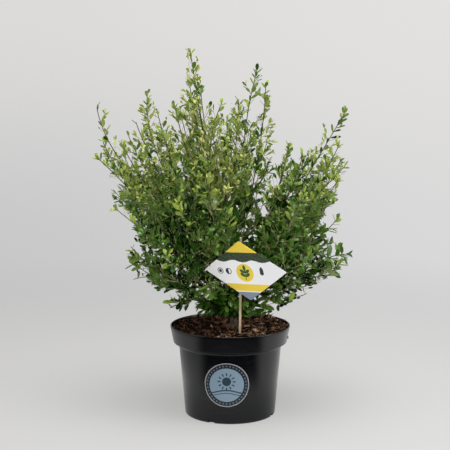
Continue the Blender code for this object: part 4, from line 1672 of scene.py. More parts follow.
@dataclass(frozen=True)
class TintRule:
    """How sprays and leaves get their tints: by height, by how far out they are, and by chance.

    Darker tints low down and near the middle are painted shade, and paler ones high up and far out are
    partly young growth and partly painted light. A patch is painted light where its amount is positive
    and painted shade where it is negative: the sprays there are lighter or darker than their height
    gives. It is given by its place across and up in the upright plane through the pot's axis, its radius
    and an amount. A limit has the score above which a tint is dealt, how much of the age is added to it,
    and the tint.
    """

    # Pools of painted light (positive amounts) and painted shade (negative amounts).
    patches: tuple[tuple[float, float, float, float], ...] = (
        (-0.082, 0.378, 0.034, -0.80), (-0.078, 0.284, 0.034, -1.30), (-0.112, 0.341, 0.026, -0.20),
        (0.119, 0.434, 0.026, -1.00), (-0.004, 0.466, 0.032, 0.52), (0.000, 0.505, 0.024, 0.34),
        (0.042, 0.446, 0.024, -0.36), (-0.116, 0.436, 0.020, -0.20), (-0.062, 0.536, 0.042, 0.24),
        (-0.146, 0.264, 0.032, 0.70), (-0.155, 0.412, 0.034, 0.50), (-0.039, 0.318, 0.026, 0.85),
        (-0.039, 0.240, 0.024, 0.85), (0.082, 0.432, 0.022, 0.44), (0.058, 0.392, 0.026, 0.28),
        (0.098, 0.358, 0.030, 0.24), (0.160, 0.356, 0.048, 0.46), (0.154, 0.474, 0.020, -0.30),
        (0.000, 0.432, 0.026, 0.70), (0.196, 0.485, 0.042, 0.30), (0.104, 0.490, 0.024, -0.20),
        (-0.100, 0.230, 0.030, 0.34),
    )
    limits: tuple[tuple[float, float, LeafTint], ...] = (
        (1.18, 0.5, LeafTint.YOUNG),
        (0.90, 0.5, LeafTint.FRESH),
        (0.54, 0.0, LeafTint.GREEN),
        (0.29, 0.0, LeafTint.DEEP),
    )
    young_height: float = 0.52
    ageing_height: float = 0.30
    foot: float = 0.235
    rise: float = 0.33
    middle: float = 0.008
    reach: float = 0.25
    tip_gain: float = 0.40
    out_gain: float = 0.46
    scatter: float = 0.27
    low_age: float = 0.35
    leaf_cells: float = 900.0
    lighter_share: float = 0.12
    darker_from: float = 0.86
    faded_from: float = 0.995

    def age(self, place: Vector) -> float:
        """How old the growth is at a place, from 0 at the top to 1 low down."""
        return clamped((self.young_height - place.z) / self.ageing_height)

    def spray(self, place: Vector, seen: Vector, tipness: float, dice: random.Random) -> LeafTint:
        """The tint of a spray.

        Args:
            place: where the spray ends.
            seen: where that shows from the front.
            tipness: how much it counts as young growth.
            dice: where chance comes from.

        Returns:
            The tint.
        """
        rise = (place.z - self.foot) / self.rise
        out = math.hypot(place.x - self.middle, place.y) / self.reach
        young = self.tip_gain * tipness * min(max(rise, 0.25), 1.0)
        score = rise + self.out_gain * (out - 0.5) + young + dice.gauss(0.0, self.scatter)
        for x, z, radius, amount in self.patches:
            score += amount * math.exp(-((seen.x - x) ** 2 + (seen.z - z) ** 2) / radius**2)
        age = self.age(place)
        for limit, ageing, tint in self.limits:
            if score > limit + ageing * age:
                return tint
        return LeafTint.SHADE

    def leaf(self, tint: LeafTint, root: Vector) -> LeafTint:
        """The same tint for most leaves of a spray, and a neighbouring one for a few.

        Args:
            tint: the spray's tint.
            root: where the leaf grows.

        Returns:
            The leaf's tint.
        """
        chance = noise.cell(root * self.leaf_cells)
        order = list(LeafTint)
        low = self.age(root) > self.low_age
        if chance > self.faded_from and not low:
            return LeafTint.FADED
        brightest = LeafTint.GREEN if low else LeafTint.FRESH
        darkest = LeafTint.SHADE if low else LeafTint.DEEP
        lighter = chance < self.lighter_share and order.index(tint) > order.index(brightest)
        step = 1 if chance > self.darker_from else -1 if lighter else 0
        return order[min(order.index(tint) + step, order.index(darkest))]


@dataclass(frozen=True)
class SprayShape:
    """How one kind of leafy stem bends, tapers and carries its leaves.

    The bends are the shares of its length at which it leaves its foot and meets its end straight,
    the sizes are those of its first leaf and its last, and the lengths are the shares of its reach
    that are tried until one fits.
    """

    points: int
    bends: Pair
    radii: Pair
    first_leaf: float
    sizes: Pair
    lengths: tuple[float, ...] = (1.0, 0.62)
    shortest: float = 0.007


@dataclass(frozen=True)
class TwigletRow:
    """How the twiglets along a stem grow.

    Their length is a base and a share of what is left of the stem. The pairs are the least and the
    most that chance makes of a length and of the step to the next one.
    """

    base: float
    share: float
    lengths: Pair
    steps: Pair


TWIG = SprayShape(6, (0.35, 0.45), (0.00078, 0.00039), 0.004, (1.0, 0.72))
TWIGLET = SprayShape(4, (0.35, 0.45), (0.00050, 0.00025), 0.004, (1.0, 0.72))
SIDE_SHOOT = SprayShape(9, (0.45, 0.4), (0.0012, 0.0005), 0.01, (1.0, 0.62), (1.0, 0.75, 0.5), 0.0)
BASAL_SPRAY = SprayShape(6, (0.4, 0.1), (0.0007, 0.0004), 0.006, (1.0, 0.8))
TWIG_ROW = TwigletRow(0.009, 0.42, (0.75, 1.2), (0.75, 1.25))
SIDE_ROW = TwigletRow(0.010, 0.34, (0.75, 1.15), (0.7, 1.2))
# The sprays at the foot are mostly dark: painted shade under the crown.
BASAL_TINTS = (LeafTint.DEEP, LeafTint.SHADE, LeafTint.SHADE, LeafTint.SHADE, LeafTint.GREEN)


@dataclass
class Growth:
    """What a spray needs to know: the shoot that it belongs to, if any, and where chance comes from."""

    shoot: str
    dice: random.Random


@dataclass
class Crown:
    """All the foliage: leading shoots, twigs, twiglets and leaves, grown by one seeded rule."""

    limbs: Limbs
    space: Space
    tints: TintRule = TintRule()
    leader_radii: Pair = (0.0017, 0.0007)
    leader_foot_radius: float = 0.0021
    leader_gap: float = 0.0006
    leader_lift: float = 0.0003
    leader_depth: float = 0.006
    leader_straight: float = 0.0025
    leader_rise: float = 0.55
    leader_bends: Pair = (0.15, 0.35)
    leader_sway: float = 0.444
    leader_step: float = 0.012
    fork_spread: float = 0.006
    own_step: float = 0.005
    own_margin: float = 0.015
    twig_step: float = 0.052
    twig_angle: float = math.radians(48)
    twig_rise: float = 0.75
    twig_widening: Pair = (0.20, 0.32)
    lowest_node: float = 0.016
    lowest_twig: float = 0.012
    finer: int = 4
    source_tip: float = 0.016
    twiglet_step: float = 0.0108
    twiglet_margin: float = 0.008
    side_step: float = 0.030
    side_stretch: Pair = (0.22, 0.64)
    side_share: float = 0.46
    side_longest: float = 0.115
    side_angle: float = math.radians(33)
    side_twiglet: float = 0.016
    side_soft_below: float = 0.53
    basal_sprays: int = 72
    basal_turn: float = math.radians(-92)
    basal_lengths: Pair = (0.030, 0.070)
    leaf_length: float = 0.0168
    leaf_growth: Pair = (0.90, 0.36)
    leaf_half: float = 0.235
    leaf_shoulder: Pair = (0.84, 0.18)
    leaf_step: float = 0.0040
    leaf_angle: float = math.radians(35)
    leaf_margin: float = 0.003
    leaf_stalk: float = 0.0010
    leafy_tip: float = 0.004
    low_leaves: float = 0.02
    thin_heights: Pair = (0.29, 0.04)
    thin_radii: Pair = (0.08, 0.05)
    sparse: float = 0.5
    rosette_drop: float = 0.0085
    rosette_step: float = 0.0012
    spire_share: float = 0.26
    spire_longest: float = 0.075
    spire_openness: float = 1.7
    spire_twig: Pair = (0.013, 0.22)
    source_leaf: float = 0.040 * 0.62 * 0.9
    source_leaf_step: float = 0.021
    plain_spires: tuple[str, ...] = (
        "right_high", "left_high_outer", "top_right_back", "right_low", "left_low_back", "back_left",
        "back_right",
    )
    pale_below: float = 0.44

    def __post_init__(self) -> None:
        """Start with no leaves and no stems, and lay out the leading shoots."""
        self.turns: dict[LeafTint, list[Matrix]] = {tint: [] for tint in LeafTint}
        self.roots: dict[LeafTint, list[Vector]] = {tint: [] for tint in LeafTint}
        self.stems = {kind: StemBundle(STEM_SIDES[kind]) for kind in StemKind}
        self.leaders = {shoot.name: self.leader(shoot) for shoot in SHOOTS + FINER_SHOOTS}
        self.owners: list[str] = []
        places: list[Vector] = []
        for name, (_, line) in self.leaders.items():
            count = max(2, math.ceil(line.length / self.own_step))
            places += line.part(0.0, line.length, count).points
            self.owners += [name] * (count + 1)
        self.near = KDTree(len(places))
        for index, place in enumerate(places):
            self.near.insert(place, index)
        self.near.balance()

    def spread_apart(self, places: Sequence[Vector], least: float) -> list[Vector]:
        """Push points apart until each pair is far enough from each other.

        Args:
            places: the points.
            least: the least distance of a pair.

        Returns:
            The moved points.
        """
        moved = [Vector(place) for place in places]
        for _ in range(200):
            for first in range(len(moved)):
                for second in range(first):
                    between = moved[first] - moved[second]
                    lack = least - between.length
                    if lack > 0:
                        push = between.normalized() * (lack / 2 + 1e-5)
                        moved[first] += push
                        moved[second] -= push
        return moved

    def leader(self, shoot: Shoot) -> tuple[Vector, Line]:
        """Lay out a leading shoot.

        Args:
            shoot: the shoot.

        Returns:
            Its start inside its bough, and its line from foot to tip.
        """
        bough = self.limbs.bough_line(shoot.bough, 6)
        ahead = (bough[-1] - bough[-2]).normalized()
        mates = [other for other in SHOOTS if other.bough == shoot.bough]
        mates += [shoot] if shoot in FINER_SHOOTS else []
        offsets = []
        for mate in mates:
            out = (mate.tip() - bough[-1]).normalized() * self.fork_spread
            offsets.append(out - ahead * out.dot(ahead))
        offsets = self.spread_apart(offsets, 2 * self.leader_radii[0] + self.leader_gap)
        centre = sum(offsets, Vector()) / len(offsets)
        foot = bough[-1] + ahead * self.leader_lift + offsets[mates.index(shoot)] - centre
        start = foot + ahead * self.leader_straight
        tip = shoot.tip()
        length = (tip - start).length
        heading = (tip - start).normalized()
        rise = (heading + UP * self.leader_rise).normalized()
        first, last = self.leader_bends
        bent = Vector((shoot.sway, 0.0, shoot.lift)) / self.leader_sway
        bends = (start + (ahead + heading) * length * first, tip - rise * length * last + bent)
        curve = interpolate_bezier(start, *bends, tip, max(10, round(length / self.leader_step)))
        return bough[-1] - ahead * self.leader_depth, Line([foot, *curve])

    def is_own(self, name: str, place: Vector) -> bool:
        """Whether a place is about as near to a shoot as to any other.

        Args:
            name: the shoot's name, or none for a spray of no shoot.
            place: the place.

        Returns:
            Whether it is.
        """
        if not name:
            return True
        _, index, away = self.near.find(place)
        if self.owners[index] == name:
            return True
        own = (far for _, index, far in self.near.find_n(place, 24) if self.owners[index] == name)
        return min(own, default=1.0) - away < self.own_margin

    def tint_of(self, growth: Growth, place: Vector, tipness: float) -> LeafTint:
        """The tint of a spray that ends at a place."""
        return self.tints.spray(place, self.space.seen(place), tipness, growth.dice)

    def add_leaf(
        self, growth: Growth, root: Vector, heading: Vector, face: Vector, size: float, tint: LeafTint
    ) -> None:
        """Add a leaf if there is room for it.

        Args:
            growth: the shoot and its chance.
            root: where it grows.
            heading: which way it points.
            face: which way its upper side looks.
            size: its size against a full-grown leaf's.
            tint: its tint.
        """
        low = clamped((self.thin_heights[0] - root.z) / self.thin_heights[1])
        out = clamped((math.hypot(root.x, root.y) - self.thin_radii[0]) / self.thin_radii[1])
        if noise.cell(root * 700.0) < self.sparse * (low * out):
            return
        least, more = self.leaf_growth
        length = self.leaf_length * size * (least + more * self.tints.age(root))
        across = heading.cross(face)
        if across.length < 1e-4:
            across = heading.orthogonal()
        across.normalize()
        tip = root + heading * length
        middle = root + heading * length * 0.5
        half = across * length * self.leaf_half
        along, wide = self.leaf_shoulder
        ends = [root + heading * length * along + across * length * side for side in (-wide, wide)]
        if not all(self.space.is_open(place) for place in (tip, middle + half, middle - half, *ends)):
            return
        if self.is_own(growth.shoot, tip):
            tint = self.tints.leaf(tint, root)
            turn = Matrix((across, heading, across.cross(heading))).transposed()
            self.turns[tint].append(turn * length)
            self.roots[tint].append(root)

    def rosette(self, growth: Growth, tip: Vector, heading: Vector, tint: LeafTint, size: float) -> None:
        """The small young leaves round a tip.

        Args:
            growth: the shoot and its chance.
            tip: the tip.
            heading: the stem's heading there.
            tint: the leaves' tint.
            size: their size, against the usual.
        """
        dice = growth.dice
        turn = dice.uniform(0, math.tau)
        for index in range(dice.choice((4, 5, 5))):
            lean = math.radians(dice.uniform(16, 58))
            out = sideways(heading, turn)
            root = tip - heading * self.rosette_step * index
            face = heading - out * 0.4 + UP * 0.3
            small = size * dice.uniform(0.38, 0.70)
            self.add_leaf(growth, root, leaning(heading, out, lean), face, small, tint)
            turn += GOLDEN_TURN

    def dress(
        self,
        growth: Growth,
        line: Line,
        start: float,
        step: float,
        tint: LeafTint,
        sizes: Pair,
        openness: float = 1.0,
    ) -> None:
        """Leaves along a stem, from full-grown below to small near the tip.

        Args:
            growth: the shoot and its chance.
            line: the stem.
            start: how far from its foot the first leaf is.
            step: how far apart the leaves are.
            tint: their tint.
            sizes: the sizes of the first leaf and of the last.
            openness: how wide the leaves stand, against the usual.
        """
        dice = growth.dice
        turn = dice.uniform(0, math.tau)
        distance = start
        while distance < line.length - self.leaf_margin:
            point, ahead = line.at(distance)
            share = distance / line.length
            lean = self.leaf_angle * dice.uniform(0.7, 1.3) * (1.08 - 0.3 * share)
            lean = lean * (0.66 + 0.5 * self.tints.age(point)) * openness
            way = leaning(ahead, sideways(ahead, turn), lean)
            face = ahead * 0.7 + UP * 0.75 + Vector([dice.uniform(-0.7, 0.7) for _ in range(3)])
            size = (sizes[0] + (sizes[1] - sizes[0]) * share) * dice.uniform(0.82, 1.14)
            self.add_leaf(growth, point + way * self.leaf_stalk, way, face, size, tint)
            turn += GOLDEN_TURN
            distance += step * dice.uniform(0.8, 1.25)

    def fitted(
        self, growth: Growth, shape: SprayShape, node: Vector, headings: tuple[Vector, Vector], reach: float
    ) -> tuple[Line, Vector] | None:
        """Lay out a stem with the first length that ends in the open.

        Args:
            growth: the shoot and its chance.
            shape: the kind of stem.
            node: where it grows.
            headings: its first heading and its last.
            reach: its length if there is room.

        Returns:
            The stem and its end, or nothing if no length fits.
        """
        for share in shape.lengths:
            length = reach * share
            end = node + (headings[0] + headings[1]) * length / 2
            is_free = length > shape.shortest and self.space.is_open(end)
            if is_free and self.is_own(growth.shoot, end):
                return self.curved(shape, node, end, headings, length), end
        return None

    def curved(
        self, shape: SprayShape, node: Vector, end: Vector, headings: tuple[Vector, Vector], length: float
    ) -> Line:
        """A stem's line from its foot to its end.

        Args:
            shape: the kind of stem.
            node: its foot.
            end: its end.
            headings: its first heading and its last.
            length: its length.

        Returns:
            The line.
        """
        first, last = shape.bends
        bends = (node + headings[0] * length * first, end - headings[1] * length * last)
        return Line(interpolate_bezier(node, *bends, end, shape.points))

    def add_stem(self, kind: StemKind, shape: SprayShape, line: Line) -> None:
        """Add the wood of a stem."""
        self.stems[kind].add(line.points, taper(*shape.radii, shape.points))

    def twiglets(self, growth: Growth, line: Line, start: float, row: TwigletRow) -> None:
        """Small twigs along a stem.

        Args:
            growth: the shoot and its chance.
            line: the stem.
            start: how far from its foot the first one is.
            row: how they grow.
        """
        dice = growth.dice
        distance, spin = start, dice.uniform(0, math.tau)
        while distance < line.length - self.twiglet_margin:
            point, heading = line.at(distance)
            reach = ((line.length - distance) * row.share + row.base) * dice.uniform(*row.lengths)
            self.twig(growth, TWIGLET, point, heading, spin, reach)
            spin += GOLDEN_TURN
            distance += self.twiglet_step * dice.uniform(*row.steps)

    def twig(
        self, growth: Growth, shape: SprayShape, node: Vector, ahead: Vector, turn: float, reach: float
    ) -> None:
        """A twig that leaves its stem at an angle, bends upwards and branches once more.

        Args:
            growth: the shoot and its chance.
            shape: whether it is a twig of the leading shoot or a twiglet.
            node: where it grows.
            ahead: its stem's heading there.
            turn: its turn round the stem.
            reach: its length.
        """
        dice = growth.dice
        first = leaning(ahead, sideways(ahead, turn), self.twig_angle)
        second = (first + UP * self.twig_rise).normalized()
        grown = self.fitted(growth, shape, node, (first, second), reach)
        if not grown:
            return
        line, end = grown
        tint = self.tint_of(growth, end, 0.0)
        kind = StemKind.SOFT if shape is TWIGLET or dice.random() < 0.75 else StemKind.BROWN
        self.add_stem(kind, shape, line)
        self.dress(growth, line, shape.first_leaf, self.leaf_step, tint, shape.sizes)
        self.rosette(growth, end, second, self.tint_of(growth, end, 1.0), 1.0)
        if shape is TWIG:
            self.twiglets(growth, line, self.twiglet_step * dice.uniform(0.8, 1.3), TWIG_ROW)

    def side_shoot(self, growth: Growth, point: Vector, ahead: Vector, turn: float, reach: float) -> None:
        """A longer shoot that leaves the leading one low down and runs up beside it.

        Args:
            growth: the shoot and its chance.
            point: where it grows.
            ahead: the leading shoot's heading there.
            turn: its turn round the leading shoot.
            reach: its length.
        """
        first = leaning(ahead, sideways(ahead, turn), self.side_angle)
        second = (first * 0.5 + ahead * 0.3 + UP * 0.55).normalized()
        grown = self.fitted(growth, SIDE_SHOOT, point, (first, second), reach)
        if not grown:
            return
        line, end = grown
        is_soft = growth.dice.random() < 0.6 and end.z < self.side_soft_below
        woody = StemKind.PALE if end.z < self.pale_below else StemKind.WOODY
        self.add_stem(StemKind.SOFT if is_soft else woody, SIDE_SHOOT, line)
        self.rosette(growth, end, second, self.tint_of(growth, end, 1.1), 1.0)
        tint = self.tint_of(growth, end, 0.3)
        self.dress(growth, line, SIDE_SHOOT.first_leaf, self.leaf_step, tint, SIDE_SHOOT.sizes)
        self.twiglets(growth, line, self.side_twiglet, SIDE_ROW)

    def basal(self) -> None:
        """Small leafy sprays round the foot of the boughs, which hide the trunk."""
        dice = random.Random(f"{SEED} basal")
        growth = Growth("", dice)
        for index in range(self.basal_sprays):
            line = Line(self.limbs.bough_line(BOUGH_NAMES[index % len(BOUGH_NAMES)], 8))
            point, _ = line.at(line.length * dice.uniform(0.30, 0.95))
            turn = self.basal_turn + dice.gauss(0.0, 1.1)
            out = Vector((math.cos(turn), math.sin(turn), dice.uniform(-0.62, 0.25))).normalized()
            length = dice.uniform(*self.basal_lengths)
            end = point + out * length + UP * length * 0.12
            spray = self.curved(BASAL_SPRAY, point, end, (out, UP), length)
            self.add_stem(StemKind.BROWN, BASAL_SPRAY, spray)
            tint = dice.choice(BASAL_TINTS)
            step = self.leaf_step * 0.85
            self.dress(growth, spray, BASAL_SPRAY.first_leaf, step, tint, BASAL_SPRAY.sizes)
            self.rosette(growth, end, out, tint, 1.1)

    def leader_stem(self, inside: Vector, line: Line) -> None:
        """The stem of a leading shoot, pale below and woody above.

        Args:
            inside: its start inside its bough.
            line: its line.
        """
        points = [*line.points[:-1], line.at(line.length - self.leafy_tip)[0]]
        radii = taper(*self.leader_radii, len(points))
        split = max(sum(point.z < self.pale_below for point in points), 2)
        self.stems[StemKind.PALE].add([inside, *points[:split]], [self.leader_foot_radius, *radii[:split]])
        if split < len(points):
            self.stems[StemKind.WOODY].add(points[split - 1 :], radii[split - 1 :])

    def spire(self, growth: Growth, line: Line, length: float, is_plain: bool) -> None:
        """The leafy end of a leading shoot.

        Args:
            growth: the shoot and its chance.
            line: the shoot's line.
            length: how long the end is.
            is_plain: whether it has larger leaves and fewer twigs.
        """
        tip, heading = line.at(line.length)
        tint = self.tint_of(growth, tip, 1.2)
        self.rosette(growth, tip - heading * self.rosette_drop, heading, tint, 1.2)
        top = line.part(line.length - length, length, 8)
        sizes = (1.35, 0.9) if is_plain else (1.2, 0.8)
        tint = growth.dice.choice((LeafTint.GREEN if is_plain else LeafTint.FRESH, LeafTint.FRESH))
        self.dress(growth, top, 0.0, self.leaf_step * 0.62, tint, sizes, self.spire_openness)

    def twig_reach(self, shoot: Shoot, line: Line, spire: float, from_tip: float) -> float:
        """Length of the twigs at a distance below the shoot's tip."""
        grown = (from_tip - spire * self.twig_widening[0]) / (line.length * self.twig_widening[1])
        return shoot.spread * math.sqrt(clamped(grown))

    def twigs(self, growth: Growth, shoot: Shoot, line: Line, spire: float, is_plain: bool) -> None:
        """The twigs of a leading shoot, from its tip down.

        Args:
            growth: the shoot and its chance.
            shoot: the shoot.
            line: its line.
            spire: how long its leafy end is.
            is_plain: whether that end has few twigs.
        """
        dice = growth.dice
        source_dice = random.Random(f"{SEED} {shoot.name}")
        turn = source_dice.uniform(0, math.tau)
        end = line.length - self.source_leaf
        distance = end - self.source_leaf_step / 2
        least, share = self.spire_twig
        while distance > end - spire:
            for part in range(1 if is_plain else 3):
                point, ahead = line.at(distance - self.source_leaf_step * part / 3)
                reach = (least + share * (line.length - distance)) * dice.uniform(0.8, 1.1)
                self.twig(growth, TWIGLET, point, ahead, turn + part * GOLDEN_TURN, reach)
            turn += GOLDEN_TURN
            distance -= self.source_leaf_step
        while distance > self.lowest_node:
            reach = self.twig_reach(shoot, line, spire, line.length - distance)
            reach *= source_dice.uniform(0.85, 1.1)
            for part in range(self.finer):
                below = distance - self.twig_step * part / self.finer
                if below < self.lowest_twig:
                    break
                point, ahead = line.at(below)
                length = max(reach + self.source_tip * min(reach / 0.025, 1.0), 0.012)
                length *= 1.0 if part == 0 else dice.uniform(0.5, 1.0)
                self.twig(growth, TWIG, point, ahead, turn + part * GOLDEN_TURN, length)
            turn += GOLDEN_TURN
            distance -= self.twig_step

    def grow(self, shoot: Shoot) -> None:
        """Make one leading shoot and everything on it.

        Args:
            shoot: the shoot.
        """
        growth = Growth(shoot.name, random.Random(f"{SEED} fine {shoot.name}"))
        dice = growth.dice
        inside, line = self.leaders[shoot.name]
        spire = min(self.spire_longest, self.spire_share * line.length)
        is_plain = shoot.name in self.plain_spires
        self.leader_stem(inside, line)
        self.spire(growth, line, spire, is_plain)
        self.twigs(growth, shoot, line, spire, is_plain)
        below, spin = line.length * self.side_stretch[0], dice.uniform(0, math.tau)
        while below < line.length * self.side_stretch[1]:
            point, ahead = line.at(below)
            reach = min(self.side_longest, (line.length - below) * self.side_share)
            self.side_shoot(growth, point, ahead, spin, reach * dice.uniform(0.7, 1.05))
            spin += GOLDEN_TURN
            below += self.side_step * dice.uniform(0.8, 1.2)
        lower = line.part(self.low_leaves, line.length - spire - self.low_leaves, 12)
        tint = self.tint_of(growth, line.at(line.length * 0.5)[0], 0.0)
        self.dress(growth, lower, 0.006, self.leaf_step * 1.8, tint, (1.0, 1.0))

    def build(self) -> None:
        """Grow every shoot, then join stems by kind and leaves by tint."""
        for shoot in SHOOTS + FINER_SHOOTS:
            self.grow(shoot)
        self.basal()
        for kind, finish in STEM_FINISHES.items():
            self.stems[kind].build(kind.value, finish.build(), "leaves", MASSES)
        shape = leaf_shape()
        for tint, finish in zip(LeafTint, LEAF_FINISHES):
            name = f"{tint.value}_leaves"
            mesh = shape.joined(self.turns[tint], self.roots[tint]).build(name, 60.0)
            LOG.info("%s: %d leaves", tint.value, len(self.turns[tint]))
            make_piece(name, mesh, finish.build(), MASSES)


# Label and sticker


@dataclass
class StickLabel:
    """The bamboo stick and the diamond card."""

    place: LabelPlace
    stick_rounding: float = 0.0006
    corner_rounding: float = 0.0024
    bow: float = 0.0012
    cuts: int = 8

    def stick(self) -> None:
        """The split bamboo stick, with its worn edges and a blunt tip."""
        length = self.place.buried() + self.place.above
        bm = bevelled_box((self.place.width, self.place.depth, length), self.stick_rounding)
        long_edges = [edge for edge in bm.edges if edge.calc_length() > length * 0.6]
        bmesh.ops.subdivide_edges(bm, edges=long_edges, cuts=28, use_grid_fill=True)
        for vert in bm.verts:
            rise = vert.co.z / length + 0.5
            worn = 1.0 + 0.05 * noise.noise(Vector((vert.co.x * 90, vert.co.y * 90, vert.co.z * 60)))
            blunt = 1.0 - 0.30 * max(rise - 0.93, 0.0) / 0.07
            vert.co.x *= worn * blunt * 0.97
            vert.co.y *= worn * 0.94
        middle = Matrix.Translation(self.place.foot + self.place.lean() * length / 2)
        turn = middle @ Matrix.Rotation(self.place.tilt, 4, "X")
        bmesh.ops.transform(bm, matrix=turn, verts=bm.verts[:])
        mesh = mesh_of("bamboo_stick", bm, 50.0)
        make_piece("bamboo_stick", mesh, [BambooFinish().build()], ["label_stick"])

    def card(self) -> None:
        """The printed card, with rounded corners and a slight bow."""
        half_width, half_height = self.place.half_width, self.place.half_height
        bm = bmesh.new()
        corners = ((0.0, half_height), (-half_width, 0.0), (0.0, -half_height), (half_width, 0.0))
        bm.faces.new([bm.verts.new((x, y, 0.0)) for x, y in corners])
        rounding = {"segments": 4, "profile": 0.5, "affect": "VERTICES", "material": -1}
        bmesh.ops.bevel(bm, geom=bm.verts[:], offset=self.corner_rounding, **rounding)
        grown = bmesh.ops.extrude_face_region(bm, geom=bm.faces[:])
        lifted = [item for item in grown["geom"] if isinstance(item, bmesh.types.BMVert)]
        bmesh.ops.translate(bm, verts=lifted, vec=(0.0, 0.0, self.place.thickness))
        bmesh.ops.recalc_face_normals(bm, faces=bm.faces[:])
        for offset in range(1 - self.cuts, self.cuts):
            cut = half_width * offset / self.cuts
            geometry = bm.verts[:] + bm.edges[:] + bm.faces[:]
            bmesh.ops.bisect_plane(bm, geom=geometry, plane_co=(cut, 0, 0), plane_no=(1, 0, 0), dist=1e-7)
        for face in bm.faces:
            face.material_index = 0 if face.normal.z > -0.5 else 1
        lay_print(bm, half_width, half_height)
        for vert in bm.verts:
            x, y = vert.co.x / half_width, vert.co.y / half_height
            vert.co.z -= self.bow * x * x - 0.0002 * y
        centre, across, up, front = self.place.axes()
        turn = Matrix((across, up, front)).transposed().to_4x4()
        bmesh.ops.transform(bm, matrix=Matrix.Translation(centre) @ turn, verts=bm.verts[:])
        back = MottledFinish("card_back", (0.66, 0.66, 0.65), (0.74, 0.74, 0.73), 40.0, 0.5, 900.0, 0.0001)
        mesh = mesh_of("label_card_print", bm, 40.0)
        make_piece("label_card_print", mesh, [CardPrint().build(), back.build()], ["label_card"])

    def build(self) -> None:
        """Make the stick and the card."""
        self.stick()
        self.card()


@dataclass
class PotSticker:
    """The round sticker that follows the pot's wall."""

    pot: NurseryPot
    radius: float = 0.0425
    height: float = 0.077
    side: float = -0.007
    thickness: float = 0.0003
    gap: float = 0.0003
    rings: int = 14
    spokes: int = 96

    def build(self) -> None:
        """Make the sticker flat, then wrap it round the wall."""
        radii = [self.radius * ring / self.rings for ring in range(self.rings + 1)]
        profile = [(radius, 0.0) for radius in radii]
        profile += [(radius, self.thickness) for radius in reversed(radii)]
        bm = spun(profile, self.spokes)
        lay_print(bm, self.radius, self.radius)
        slope = (self.pot.body - self.pot.base) / (self.pot.height - self.pot.shoulder)
        for vert in bm.verts:
            rise = self.height + vert.co.y
            wall = self.pot.base + slope * rise
            turn = (vert.co.x + self.side) / wall
            out = wall + self.gap + vert.co.z
            vert.co = (out * math.sin(turn), -out * math.cos(turn), rise)
        bmesh.ops.recalc_face_normals(bm, faces=bm.faces[:])
        mesh = mesh_of("round_sticker", bm, 40.0)
        make_piece("round_sticker", mesh, [StickerPrint().build()], ["pot_sticker"])


# Studio


def grey(value: float) -> Colour:
    """A neutral colour."""
    return (value, value, value)


